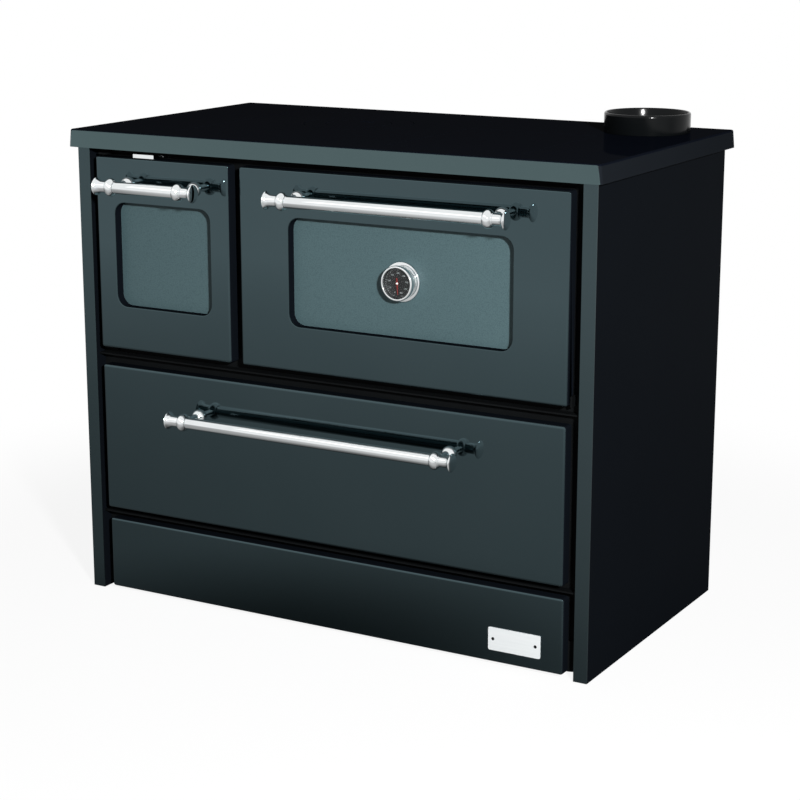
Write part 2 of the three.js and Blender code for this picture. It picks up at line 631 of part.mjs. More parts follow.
// A door: folded front with a pressed recess, inset plate, liner and gasket. x and z are
// measured from the door's lower left corner, y from its face.
function door(name, spanX, recessWidth, cuts, group) {
  const width = spanX[1] - spanX[0];
  const recessX = spread(width / 2, recessWidth / 2);
  const recessZ = [DOOR_HEIGHT - RECESS_DROP - RECESS_HEIGHT, DOOR_HEIGHT - RECESS_DROP];
  const grown = (margin) => roundedRectangle(
    inset(recessX, -margin), inset(recessZ, -margin), RECESS_RADIUS + margin,
  );
  const wall = facing(grown(SHEET), [SHEET / 2, RECESS_DEPTH - SEAT]);
  const opening = facing(grown(0), [-OVERRUN, FRONT_FOLD]);
  const front = cut(join(foldedFront(width, DOOR_HEIGHT, FRONT_FOLD), wall), opening, ...cuts.front);
  piece(`${name}_panel`, front, slateEnamel, group);

  const insetPlate = facing(grown(INSET_LAP), [RECESS_DEPTH, RECESS_DEPTH + SHEET]);
  piece(`${name}_inset`, cut(insetPlate, ...cuts.back), grainEnamel, group);

  const linerY = [FRONT_FOLD + SEAT, linerBack];
  const liner = block(inset([0, width], LINER_MARGIN), linerY, inset([0, DOOR_HEIGHT], LINER_MARGIN));
  piece(`${name}_liner`, cut(liner, ...cuts.back), castIron, group);

  const windowX = inset([0, width], WINDOW_LAP_SIDE);
  const windowHeight = [WINDOW_LAP_BOTTOM, DOOR_HEIGHT - WINDOW_LAP_TOP];
  const ring = (margin) => roundedRectangle(
    inset(windowX, -margin), inset(windowHeight, -margin), margin + GASKET_CORNER,
  );
  const gasketY = [linerBack + SEAT, FRONT_PROUD + FRAME_SETBACK - SEAT];
  const gasket = cut(
    facing(ring(GASKET_GAP + GASKET_WIDTH), gasketY, 3),
    facing(ring(GASKET_GAP), inset(gasketY, -OVERRUN), 3),
  );
  piece(`${name}_gasket`, gasket, ropeGrey, group);
  return { x: width / 2, z: (recessZ[0] + recessZ[1]) / 2 };
}

const pinHole = HINGE_PIN_RADIUS + HINGE_PIN_CLEARANCE;

// The fire door turns on two upright pins at its left edge.
function fireDoor() {
  const group = groupAt(fireDoorX[0], faceY, doorBottom, stove);
  const pins = rodAlongZ(pinHole, inset([0, DOOR_HEIGHT], -OVERRUN), HINGE_INSET, HINGE_DEPTH);
  const between = inset([0, DOOR_HEIGHT], SHEET + OVERRUN);
  const hollow = block([0, FIRE_DOOR_WIDTH], [0, FRONT_FOLD], between);
  door('fire_door', fireDoorX, FIRE_RECESS_WIDTH, { front: [cut(pins, hollow)], back: [] }, group);
  const handleGroup = groupAt(FIRE_DOOR_WIDTH / 2, 0, DOOR_HEIGHT - DOOR_HANDLE_DROP, group);
  handle('fire_door', FIRE_HANDLE_HALF, handleGroup);
}

// The oven door turns down on two level pins at its lower corners.
function ovenDoor() {
  const width = ovenDoorX[1] - ovenDoorX[0];
  const group = groupAt(ovenDoorX[0], faceY, doorBottom, stove);
  const pins = rodAlongX(pinHole, inset([0, width], -OVERRUN), HINGE_DEPTH, HINGE_INSET);
  const hollow = block(inset([0, width], SHEET + OVERRUN), [0, FRONT_FOLD], [0, DOOR_HEIGHT]);
  const middle = DOOR_HEIGHT - RECESS_DROP - RECESS_HEIGHT / 2;
  const probeHole = rodAlongY(
    PROBE_RADIUS + PROBE_CLEARANCE, [SHEET, linerBack + OVERRUN], width / 2, middle,
  );
  const cuts = { front: [cut(pins, hollow)], back: [probeHole] };
  const centre = door('oven_door', ovenDoorX, OVEN_RECESS_WIDTH, cuts, group);
  handle('oven_door', OVEN_HANDLE_HALF, groupAt(width / 2, 0, DOOR_HEIGHT - DOOR_HANDLE_DROP, group));
  thermometer(groupAt(centre.x, RECESS_DEPTH - SEAT, centre.z, group));
}

// Pivot brackets on the frame: an arm above and below the fire door, each with its pin.
function fireHinges() {
  const axisX = fireDoorX[0] + HINGE_INSET;
  const plateY = [FRAME_SETBACK - SEAT - HINGE_ARM, FRAME_SETBACK - SEAT];
  const armX = spread(axisX, HINGE_ARM_HALF - 1);
  const armY = [hingeY - HINGE_PIN_RADIUS - HINGE_ARM_MARGIN, plateY[1]];
  const upperZ = doorTop + SLIDER_TAB_LIFT;
  const lowerZ = doorBottom - SEAT;
  const upper = join(
    block(armX, armY, [upperZ, upperZ + HINGE_ARM]),
    block(armX, plateY, [upperZ, upperZ + 4 * HINGE_ARM]),
    rodAlongZ(HINGE_PIN_RADIUS, [doorTop - HINGE_PIN_REACH, upperZ + OVERRUN], axisX, hingeY),
  );
  const lower = join(
    block(armX, armY, [lowerZ - HINGE_ARM, lowerZ]),
    block(armX, plateY, [lowerZ - 4 * HINGE_ARM, lowerZ]),
    rodAlongZ(HINGE_PIN_RADIUS, [lowerZ - OVERRUN, doorBottom + HINGE_PIN_REACH], axisX, hingeY),
  );
  piece('fire_hinge_upper', upper, frameBlack, stove);
  piece('fire_hinge_lower', lower, frameBlack, stove);
}

// Pivot brackets beside the oven door's lower corners.
function ovenHinge(name, edge, side) {
  const axisZ = doorBottom + HINGE_INSET;
  const near = edge + side * SEAT;
  const armX = [near, near + side * HINGE_ARM].sort((a, b) => a - b);
  const plateX = [near, near + side * 4 * HINGE_ARM].sort((a, b) => a - b);
  const pinX = [near + side, edge - side * HINGE_PIN_REACH].sort((a, b) => a - b);
  const plateY = [FRAME_SETBACK - SEAT - HINGE_ARM, FRAME_SETBACK - SEAT];
  const armZ = spread(axisZ, HINGE_ARM_HALF);
  const bracket = join(
    block(armX, [hingeY - HINGE_PIN_RADIUS - HINGE_ARM_MARGIN, plateY[1]], armZ),
    block(plateX, plateY, armZ),
    rodAlongX(HINGE_PIN_RADIUS, pinX, hingeY, axisZ),
  );
  piece(name, bracket, frameBlack, stove);
}

// Catches on the frame that hold the doors shut, against the liners' backs.
function doorCatches() {
  const depth = [faceY + linerBack + SEAT, FRAME_SETBACK - SEAT];
  const beside = fireWindowX[1] + GASKET_GAP + GASKET_WIDTH + CATCH_GAP;
  const above = windowZ[1] + GASKET_GAP + GASKET_WIDTH + CATCH_GAP;
  const middle = (windowZ[0] + windowZ[1]) / 2;
  const fire = block([beside, beside + CATCH_WIDTH], depth, spread(middle, CATCH_LENGTH / 2));
  const oven = block(spread(ovenX, CATCH_LENGTH / 2), depth, [above, above + CATCH_WIDTH]);
  piece('fire_door_catch', fire, frameBlack, stove);
  piece('oven_door_catch', oven, frameBlack, stove);
}

/* ------------------------------ Thermometer ------------------------------ */

// The origin is the middle of the case's back. The case opens to the front (-Y): a bezel, a
// narrower neck and a wide rear flange that lies on the sunk field.
function thermometer(group) {
  const front = -GAUGE_DEPTH;
  const bore = GAUGE_RADIUS - GAUGE_BEZEL;
  const room = GAUGE_NECK_RADIUS - GAUGE_WALL;
  const neckFront = front + GAUGE_RIM;
  const dialFace = front + DIAL_DEPTH;
  const dialBack = dialFace + DIAL_THICKNESS;
  const glassFront = front + GLASS_DEPTH;
  const glassBack = glassFront + GLASS_THICKNESS;
  const needleY = [glassBack + NEEDLE_GAP, glassBack + NEEDLE_GAP + NEEDLE_THICKNESS];
  const caseProfile = [
    [bore, front + 0.6], [bore + 0.8, front], [GAUGE_RADIUS - GAUGE_ROUND, front],
    [GAUGE_RADIUS - 0.7, front + 0.8], [GAUGE_RADIUS, front + GAUGE_ROUND],
    [GAUGE_RADIUS, neckFront - 1], [GAUGE_RADIUS - 1, neckFront], [GAUGE_NECK_RADIUS, neckFront],
    [GAUGE_NECK_RADIUS, -GAUGE_FLANGE], [GAUGE_FLANGE_RADIUS - 1.2, -GAUGE_FLANGE],
    [GAUGE_FLANGE_RADIUS, 1.2 - GAUGE_FLANGE], [GAUGE_FLANGE_RADIUS, 0],
    [PROBE_RADIUS, 0], [PROBE_RADIUS, PROBE_LENGTH - 2], [PROBE_RADIUS - 1.5, PROBE_LENGTH],
    [0, PROBE_LENGTH],
    [0, -GAUGE_WALL], [room, -GAUGE_WALL], [room, dialBack + SEAT],
    [bore, dialBack + SEAT], [bore, front + 0.6],
  ];
  const shaft = rodAlongY(SHAFT_RADIUS, [needleY[1] + SEAT, -GAUGE_WALL / 2], 0, 0, 8);
  const body = join(turnedAlongY(caseProfile, 24), shaft);
  piece('thermometer_case', body, chrome, group);

  const disc = (radius, [y0, y1], hole) => {
    const plate = rodAlongY(radius, [y0, y1], 0, 0, 24);
    return hole ? cut(plate, rodAlongY(hole, [y0 - OVERRUN, y1 + OVERRUN], 0, 0, 8)) : plate;
  };
  const shaftHole = SHAFT_RADIUS + SEAT;
  piece('thermometer_dial', disc(bore - SEAT, [dialFace, dialBack], shaftHole), dialBlack, group);
  piece('thermometer_glass', disc(bore - SEAT, [glassFront, glassBack], 0), clearGlass, group);

  const blade = facing(polygon([
    [-1.4, 0], [-1, -NEEDLE_TAIL], [1, -NEEDLE_TAIL], [1.4, 0], [0.35, NEEDLE_LENGTH], [-0.35, NEEDLE_LENGTH],
  ]), needleY);
  const hub = rodAlongY(NEEDLE_HUB, needleY, 0, 0, 12);
  const needle = groupAt(0, 0, 0, group);
  needle.rotation.y = THREE.MathUtils.degToRad(NEEDLE_REST);
  piece('thermometer_needle', join(blade, hub), needleRed, needle);
}

/* ------------------------------ Hob ------------------------------ */

// A prism whose upper outline is smaller than its lower one by the same margin all round.
function taperedPrism(halfX, [y0, y1], radius, margin, [z0, z1]) {
  const outline = (inward) => roundedRectangle(
    spread(0, halfX - inward), [y0 + inward, y1 - inward], radius,
  ).getPoints(5);
  const lower = outline(0);
  const upper = outline(margin);
  const count = lower.length;
  const positions = [];
  lower.forEach((p) => positions.push(p.x, p.y, z0));
  upper.forEach((p) => positions.push(p.x, p.y, z1));
  const faces = THREE.ShapeUtils.triangulateShape(lower, []);
  const index = [];
  faces.forEach(([a, b, c]) => index.push(a, c, b, a + count, b + count, c + count));
  for (let i = 0; i < count; i += 1) {
    const next = (i + 1) % count;
    index.push(i, next, next + count, i, next + count, i + count);
  }
  const geometry = new THREE.BufferGeometry();
  geometry.setAttribute('position', new THREE.Float32BufferAttribute(positions, 3));
  geometry.setIndex(index);
  return solid(geometry);
}

// The L-shaped opening in the deck, grown or shrunk by a margin.
function plateOpening(margin, span) {
  const left = block(
    inset([plateLeftEnd, plateSeam], -margin), inset([plateFront, plateLeftRear], -margin), span,
  );
  const right = block(
    [plateSeam - 2 * LEDGE, plateRightEnd + margin],
    inset([plateFront, plateRightRear], -margin), span,
  );
  return join(left, right);
}

function hobFrame() {
  const depth = [hobFront, hobRear];
  const outside = taperedPrism(hobHalf, depth, HOB_RADIUS, HOB_FLARE, [hobUnder, HOB_HEIGHT]);
  const thin = HOB_EDGE_SHEET + HOB_FLARE;
  const hollow = block(
    spread(0, hobHalf - thin), inset(depth, thin), [hobUnder - OVERRUN, deckUnder],
  );
  const rimUnder = HOB_HEIGHT - DECK - SEAT;
  const ledge = cut(
    plateOpening(LEDGE_WALL, [rimUnder - LEDGE_THICKNESS, HOB_HEIGHT - 2]),
    plateOpening(0, [rimUnder, HOB_HEIGHT]),
    plateOpening(-LEDGE, [rimUnder - LEDGE_THICKNESS - OVERRUN, rimUnder + OVERRUN]),
  );
  const flueHole = rodAlongZ(
    COLLAR_RADIUS - COLLAR_WALL, inset([deckUnder, HOB_HEIGHT], -OVERRUN), collarX, collarY,
    COLLAR_SEGMENTS,
  );
  const opening = plateOpening(0, inset([deckUnder, HOB_HEIGHT], -OVERRUN));
  piece('hob_frame', join(cut(outside, hollow, opening, flueHole), ledge), hobEnamel, stove);
}

// A cast plate: a rim that rests on the ledge, and a thicker middle.
function castPlate([x0, x1], [y0, y1], rimGap) {
  const [left, right, front, rear] = rimGap;
  const pad = LEDGE + PLATE_GAP;
  const rim = block([x0 + left, x1 - right], [y0 + front, y1 - rear], [HOB_HEIGHT - DECK, HOB_HEIGHT]);
  const padX = [x0 + (left ? pad : 0) + PLATE_GAP, x1 - pad - PLATE_GAP];
  const middle = block(
    padX, inset([y0, y1], pad + PLATE_GAP), [HOB_HEIGHT - DECK - PLATE_PAD, HOB_HEIGHT - DECK + 1],
  );
  return join(rim, middle);
}

function hobPlates() {
  const gap = PLATE_GAP;
  const ringSeat = RING_RADIUS - LEDGE;
  const lidSeat = LID_RADIUS - LEDGE;
  const rimUnder = HOB_HEIGHT - DECK;
  const padUnder = rimUnder - PLATE_PAD;
  const above = HOB_HEIGHT + OVERRUN;
  const below = padUnder - OVERRUN;
  const leftGaps = [gap, gap / 2, gap, gap];
  const rightGaps = [gap / 2, gap, gap, gap];
  const left = castPlate([plateLeftEnd, plateSeam], [plateFront, plateLeftRear], leftGaps);
  const right = castPlate([plateSeam, plateRightEnd], [plateFront, plateRightRear], rightGaps);
  const ringHole = rodAlongZ(RING_RADIUS, [rimUnder, above], ringX, ringY, ROUND_SEGMENTS);
  const ringBore = rodAlongZ(ringSeat, [below, above], ringX, ringY, ROUND_SEGMENTS);
  piece('hob_plate_left', cut(left, ringHole, ringBore), hobEnamel, stove);
  piece('hob_plate_right', right, hobEnamel, stove);

  const rounds = groupAt(ringX, ringY, 0, stove);
  const ringRim = [rimUnder + SEAT, HOB_HEIGHT];
  const ring = cut(
    join(
      rodAlongZ(RING_RADIUS - gap, ringRim, 0, 0, ROUND_SEGMENTS),
      rodAlongZ(ringSeat - gap, [padUnder, HOB_HEIGHT - OVERRUN], 0, 0, ROUND_SEGMENTS),
    ),
    rodAlongZ(LID_RADIUS, [rimUnder, above], 0, 0, ROUND_SEGMENTS),
    rodAlongZ(lidSeat, [below, above], 0, 0, ROUND_SEGMENTS),
  );
  piece('hob_ring', ring, hobEnamel, rounds);

  const lifterY = spread(LID_RADIUS / 2, LIFTER_WIDTH / 2);
  const lifter = block(spread(0, LIFTER_LENGTH / 2), lifterY, [HOB_HEIGHT - LIFTER_DEPTH, above]);
  const lid = rodAlongZ(LID_RADIUS - gap, [rimUnder + SEAT, HOB_HEIGHT], 0, 0, ROUND_SEGMENTS);
  piece('hob_lid', cut(lid, lifter), hobEnamel, rounds);
}

// The collar stands on the deck. Its spigot reaches through the deck's hole.
function flueCollar() {
  const bore = COLLAR_RADIUS - COLLAR_WALL;
  const base = HOB_HEIGHT + SEAT;
  const top = HOB_HEIGHT + COLLAR_HEIGHT;
  const spigot = bore - SEAT;
  const profile = [
    [spigot - SPIGOT_WALL, deckUnder - SPIGOT_DROP], [spigot, deckUnder - SPIGOT_DROP], [spigot, base],
    [COLLAR_RADIUS, base], [COLLAR_RADIUS, top - COLLAR_RIM],
    [COLLAR_RADIUS - COLLAR_RIM * 0.3, top - COLLAR_RIM * 0.3], [COLLAR_RADIUS - COLLAR_RIM * 0.6, top],
    [bore + 0.6, top], [bore, top - 0.6], [bore, base + DECK], [spigot - SPIGOT_WALL, base + DECK],
    [spigot - SPIGOT_WALL, deckUnder - SPIGOT_DROP],
  ];
  const collar = turnedAlongZ(profile, COLLAR_SEGMENTS);
  piece('flue_collar', collar, flueBlack, groupAt(collarX, collarY, 0, stove));
}

/* ------------------------------ Firebox ------------------------------ */

// The welded inner body: floor, sides, back, the wall between fire and oven, and the shelves
// that carry the grate bed.
function innerBody() {
  const wallZ = [innerFloor - INNER_SHEET, deckUnder - SEAT];
  const depth = [innerFront, innerBack];
  const left = block([-innerHalf, -innerHalf + INNER_SHEET], depth, wallZ);
  const right = block([innerHalf - INNER_SHEET, innerHalf], depth, wallZ);
  const back = block(spread(0, innerHalf), [innerBack - INNER_SHEET, innerBack], wallZ);
  const floor = block(spread(0, innerHalf), depth, [innerFloor - INNER_SHEET, innerFloor]);
  const dividerZ = [innerFloor - OVERRUN, windowZ[1] + DIVIDER_RISE];
  const divider = block(dividerX, [innerFront, bedRear], dividerZ);
  const shelfZ = [bedUnder - SEAT - INNER_SHEET, bedUnder - SEAT];
  const shelfY = inset([innerFront, bedRear], SUPPORT_MARGIN);
  const shelves = [
    block([-innerHalf + OVERRUN, bedX[0] + BED_SHELF], shelfY, shelfZ),
    block([bedX[1] - BED_SHELF, dividerX[1] - OVERRUN], shelfY, shelfZ),
  ];
  piece('inner_body', join(floor, left, right, back, divider, ...shelves), frameBlack, stove);
}

function fireBricks() {
  const height = [bedTop + SEAT, windowZ[1] + BRICK_RISE];
  const left = [bedX[0], bedX[0] + BRICK];
  const right = [bedX[1] - BRICK, bedX[1]];
  const between = [left[1] + SEAT, right[0] - SEAT];
  piece('fire_brick_left', block(left, [innerFront, bedRear], height), fireBrick, stove);
  piece('fire_brick_right', block(right, [innerFront, bedRear], height), fireBrick, stove);
  piece('fire_brick_rear', block(between, [brickRear + SEAT, bedRear], height), fireBrick, stove);
}

function grate() {
  const grateX = spread(fireX, GRATE_WIDTH / 2);
  const grateY = [innerFront + GRATE_FRONT, innerFront + GRATE_FRONT + GRATE_LENGTH];
  const grateZ = [bedTop - GRATE_THICKNESS, bedTop];
  const bed = cut(
    block(bedX, [innerFront, bedRear], [bedUnder, bedTop]),
    block(inset(grateX, -SEAT), inset(grateY, -SEAT), [grateZ[0] - SEAT, bedTop + OVERRUN]),
    block(inset(grateX, GRATE_REBATE), inset(grateY, GRATE_REBATE), [bedUnder - OVERRUN, bedTop]),
  );
  piece('grate_bed', bed, castIron, stove);

  const pitch = (GRATE_WIDTH - 2 * GRATE_BORDER - GRATE_SLOT_WIDTH) / (GRATE_SLOTS - 1);
  const slots = Array.from({ length: GRATE_SLOTS }, (_, i) => {
    const x = grateX[0] + GRATE_BORDER + i * pitch;
    return block([x, x + GRATE_SLOT_WIDTH], inset(grateY, GRATE_BORDER), inset(grateZ, -OVERRUN));
  });
  const middleY = spread((grateY[0] + grateY[1]) / 2, GRATE_BAR / 2);
  const middleBar = block(inset(grateX, OVERRUN), middleY, grateZ);
  piece('fire_grate', join(cut(block(grateX, grateY, grateZ), ...slots), middleBar), castIron, stove);
}

// An open box of sheet: walls and floor, with its inside free.
function openBox(x, y, z, sheet) {
  return cut(block(x, y, z), block(inset(x, sheet), inset(y, sheet), [z[0] + sheet, z[1] + OVERRUN]));
}

function ashPan() {
  const front = frameBack + ASH_PAN_SETBACK;
  const base = innerFloor + SEAT;
  const panX = spread(fireX, ASH_PAN_WIDTH / 2);
  const pan = openBox(panX, [front, front + ASH_PAN_DEPTH], [base, base + ASH_PAN_HEIGHT], ASH_PAN_SHEET);
  const pullX = spread(fireX, ASH_PULL_WIDTH / 2);
  const pullFront = front - ASH_PULL_REACH;
  const pullZ = base + ASH_PAN_HEIGHT * ASH_PULL_LEVEL;
  const pull = block(pullX, [pullFront, front + OVERRUN], [pullZ, pullZ + ASH_PULL_SHEET]);
  const lip = block(
    pullX, [pullFront, pullFront + ASH_PULL_SHEET], [pullZ - ASH_PULL_LIP, pullZ + ASH_PULL_SHEET],
  );
  piece('ash_pan', join(pan, pull, lip), zincSheet, stove);
}

/* ------------------------------ Oven ------------------------------ */

function oven() {
  const outerX = inset(ovenWindowX, -OVEN_SHEET);
  const outerZ = [innerFloor + SEAT, windowZ[1] - SEAT];
  const depth = [innerFront, innerFront + OVEN_DEPTH];
  const floor = outerZ[0] + OVEN_SHEET;
  const shell = cut(
    block(outerX, depth, outerZ),
    block(ovenWindowX, [depth[0] - OVERRUN, depth[1] - OVEN_SHEET], inset(outerZ, OVEN_SHEET)),
  );
  const ribs = [TRAY_LEVEL, RACK_LEVEL].flatMap((level) => {
    const z = [floor + level - RIB_THICKNESS, floor + level];
    const y = inset(depth, SUPPORT_MARGIN);
    return [
      block([ovenWindowX[0] - OVERRUN, ovenWindowX[0] + RIB], y, z),
      block([ovenWindowX[1] - RIB, ovenWindowX[1] + OVERRUN], y, z),
    ];
  });
  piece('oven_box', join(shell, ...ribs), ovenEnamel, stove);

  const shelfY = [shelfFront, shelfFront + SHELF_LENGTH];
  ovenTray(floor + TRAY_LEVEL + SEAT, inset(ovenWindowX, SHELF_PLAY), shelfY);
  ovenRack(floor + RACK_LEVEL + SEAT, inset(ovenWindowX, SHELF_PLAY), shelfY);
}

// The tray hangs by its rim from the lower ribs.
function ovenTray(z, x, y) {
  const bodyX = inset(x, RIB + SHELF_PLAY);
  const bodyY = inset(y, RIB);
  const rim = cut(
    block(x, y, [z, z + TRAY_SHEET]),
    block(
      inset(bodyX, TRAY_SHEET), inset(bodyY, TRAY_SHEET), inset([z, z + TRAY_SHEET], -OVERRUN),
    ),
  );
  const pan = openBox(bodyX, bodyY, [z - TRAY_DEPTH, z + TRAY_SHEET], TRAY_SHEET);
  piece('oven_tray', join(rim, pan), ovenEnamel, stove);
}

// The rack is a frame of rods with bars from front to back.
function ovenRack(z, x, y) {
  const level = z + RACK_ROD;
  const [x0, x1] = inset(x, RACK_ROD);
  const [y0, y1] = inset(y, RACK_ROD);
  const sideRods = [x0, x1].map((at) => rodAlongY(RACK_ROD, y, at, level, 8));
  const crossRods = [y0, y1].map((at) => rodAlongX(RACK_ROD, [x0, x1], at, level, 8));
  const pitch = (x1 - x0) / (RACK_BARS + 1);
  const bars = Array.from({ length: RACK_BARS }, (_, i) =>
    rodAlongY(RACK_ROD * 0.7, [y0, y1], x0 + (i + 1) * pitch, level, 6));
  piece('oven_rack', join(sideRods[0], ...crossRods, sideRods[1], ...bars), chrome, stove);
}

/* ------------------------------ Wood drawer ------------------------------ */

const drawerBoxX = inset(drawerX, DRAWER_BOX_MARGIN);
const drawerBoxZ = [drawerBottom + DRAWER_BOX_LIFT, drawerBottom + DRAWER_BOX_LIFT + DRAWER_BOX_HEIGHT];

// The box is screwed to the back of the front's face, inside its folds.
function drawer() {
  const width = drawerX[1] - drawerX[0];
  const group = groupAt(drawerX[0], faceY, drawerBottom, stove);
  piece('drawer_front', foldedFront(width, DRAWER_HEIGHT, FRONT_FOLD), slateEnamel, group);
  handle('drawer', DRAWER_HANDLE_HALF, groupAt(width / 2, 0, DRAWER_HEIGHT - DRAWER_HANDLE_DROP, group));
  const front = faceY + SHEET + SEAT;
  const box = openBox(drawerBoxX, [front, front + DRAWER_BOX_DEPTH], drawerBoxZ, DRAWER_BOX_SHEET);
  piece('drawer_box', box, zincSheet, stove);
}

// Angle runners under the drawer's sides, from the front frame to the back panel.
function drawerRunner(name, side) {
  const edge = side * drawerBoxX[1];
  const depth = [innerFront, backPanelFront - SEAT];
  const top = drawerBoxZ[0] - SEAT;
  const inner = edge - side * RUNNER_LAP;
  const upright0 = edge + side * SHELF_PLAY;
  const upright1 = upright0 + side * RUNNER_SHEET;
  const ordered = (a, b) => [Math.min(a, b), Math.max(a, b)];
  const level = block(ordered(inner, upright1), depth, [top - RUNNER_SHEET, top]);
  const wall = block(ordered(upright0, upright1), depth, [top - RUNNER_SHEET, top + RUNNER_LEG]);
  piece(name, join(level, wall), zincSheet, stove);
}

/* ------------------------------ Assembly ------------------------------ */

sidePanel('side_panel_left', -1);
sidePanel('side_panel_right', 1);
backPanel();
basePan();
const footX = halfCasing - FOOT_INSET_X;
foot('foot_front_left', -footX, FOOT_INSET_Y);
foot('foot_front_right', footX, FOOT_INSET_Y);
foot('foot_rear_left', -footX, CASING_DEPTH - FOOT_INSET_Y);
foot('foot_rear_right', footX, CASING_DEPTH - FOOT_INSET_Y);
plinth();
frontFrame();
airSlider();
innerBody();
fireBricks();
grate();
ashPan();
oven();
fireHinges();
ovenHinge('oven_hinge_left', ovenDoorX[0], -1);
ovenHinge('oven_hinge_right', ovenDoorX[1], 1);
doorCatches();
fireDoor();
ovenDoor();
drawer();
drawerRunner('drawer_runner_left', -1);
drawerRunner('drawer_runner_right', 1);
hobFrame();
hobPlates();
flueCollar();

export default stove;
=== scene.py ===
# %% [markdown]
# # A wood-burning kitchen range
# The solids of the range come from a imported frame, in metres, with the floor at Z = 0, X to the
# right and Y towards the back. This script dresses them: it rebuilds the visible pieces with
# round edges, gives each one a finish, and sets the light and the camera.

# %% Load the frame
import json
import math

import bmesh
import bpy
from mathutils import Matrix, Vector


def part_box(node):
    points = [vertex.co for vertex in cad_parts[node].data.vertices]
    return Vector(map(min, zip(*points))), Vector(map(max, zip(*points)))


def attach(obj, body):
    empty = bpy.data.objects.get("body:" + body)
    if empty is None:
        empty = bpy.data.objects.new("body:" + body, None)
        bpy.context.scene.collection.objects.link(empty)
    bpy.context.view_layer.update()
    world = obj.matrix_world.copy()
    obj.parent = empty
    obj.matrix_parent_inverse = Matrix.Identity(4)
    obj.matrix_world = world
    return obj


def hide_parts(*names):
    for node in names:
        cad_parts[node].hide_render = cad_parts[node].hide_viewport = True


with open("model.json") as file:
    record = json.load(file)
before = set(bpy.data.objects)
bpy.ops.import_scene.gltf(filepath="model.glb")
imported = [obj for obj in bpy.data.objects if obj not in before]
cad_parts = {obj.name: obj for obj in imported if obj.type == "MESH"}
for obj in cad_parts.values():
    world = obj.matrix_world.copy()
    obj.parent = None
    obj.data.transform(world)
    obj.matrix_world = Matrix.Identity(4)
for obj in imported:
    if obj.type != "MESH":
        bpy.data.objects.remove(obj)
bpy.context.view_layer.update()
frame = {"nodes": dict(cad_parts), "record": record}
MM = 0.001
record = frame["record"]
body_of = {n: body for body, nodes in record["behaviour"]["bodies"].items() for n in nodes}

# %% [markdown]
# ## Reading the frame
# Every new piece takes its place from the node that it stands for, so nothing is fitted by eye.
# A span is the pair of lowest and highest values along one axis.


# %% Spans
def spans(node):
    """The spans of a node along X, Y and Z."""
    low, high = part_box(node)
    return [(low[axis], high[axis]) for axis in range(3)]


def middle(span):
    return (span[0] + span[1]) / 2


def shrunk(span, margin):
    return (span[0] + margin, span[1] - margin)


fire_door = spans("fire_door_panel")
oven_door = spans("oven_door_panel")
print("fire door, mm:", [round((s[1] - s[0]) / MM, 1) for s in fire_door])

# %% [markdown]
# ## Shader maths as plain sums
# A finish is a tree of nodes. Written as sums, such as `1 - mask * 0.3`, it stays readable: the
# class below wraps a socket, and each sign adds the Math node that it stands for.


# %% Sockets that can be added and multiplied
class Amount:
    """A number that flows through a tree of shader nodes."""

    def __init__(self, shading, socket):
        self.shading = shading
        self.socket = socket

    def sum_with(self, operation, first, second):
        return self.shading.node("ShaderNodeMath", {"operation": operation}, {0: first, 1: second})

    def __add__(self, other):
        return self.sum_with("ADD", self, other)

    __radd__ = __add__

    def __sub__(self, other):
        return self.sum_with("SUBTRACT", self, other)

    def __rsub__(self, other):
        return self.sum_with("SUBTRACT", other, self)

    def __mul__(self, other):
        return self.sum_with("MULTIPLY", self, other)

    __rmul__ = __mul__

    def over(self, limit, softness):
        """From 0 to 1 as the amount passes a limit."""
        return self.shading.node(
            "ShaderNodeMapRange",
            {"interpolation_type": "SMOOTHSTEP"},
            {"Value": self, "From Min": limit - softness, "From Max": limit + softness},
        )


# %% [markdown]
# `node` is the one way in for every node: its settings are set first, then the sockets get a
# value or a link. A finish adds the Principled shader and the patterns that its pieces need.


# %% Finishes
class Shading:
    """A tree of shader nodes."""

    def __init__(self, tree):
        self.tree = tree

    def node(self, kind, settings=None, sockets=None, output=0):
        added = self.tree.nodes.new(kind)
        for name, value in (settings or {}).items():
            setattr(added, name, value)
        for name, value in (sockets or {}).items():
            self.feed(added.inputs[name], value)
        return Amount(self, added.outputs[output])

    def feed(self, socket, value):
        if isinstance(value, Amount):
            self.tree.links.new(value.socket, socket)
        else:
            socket.default_value = value


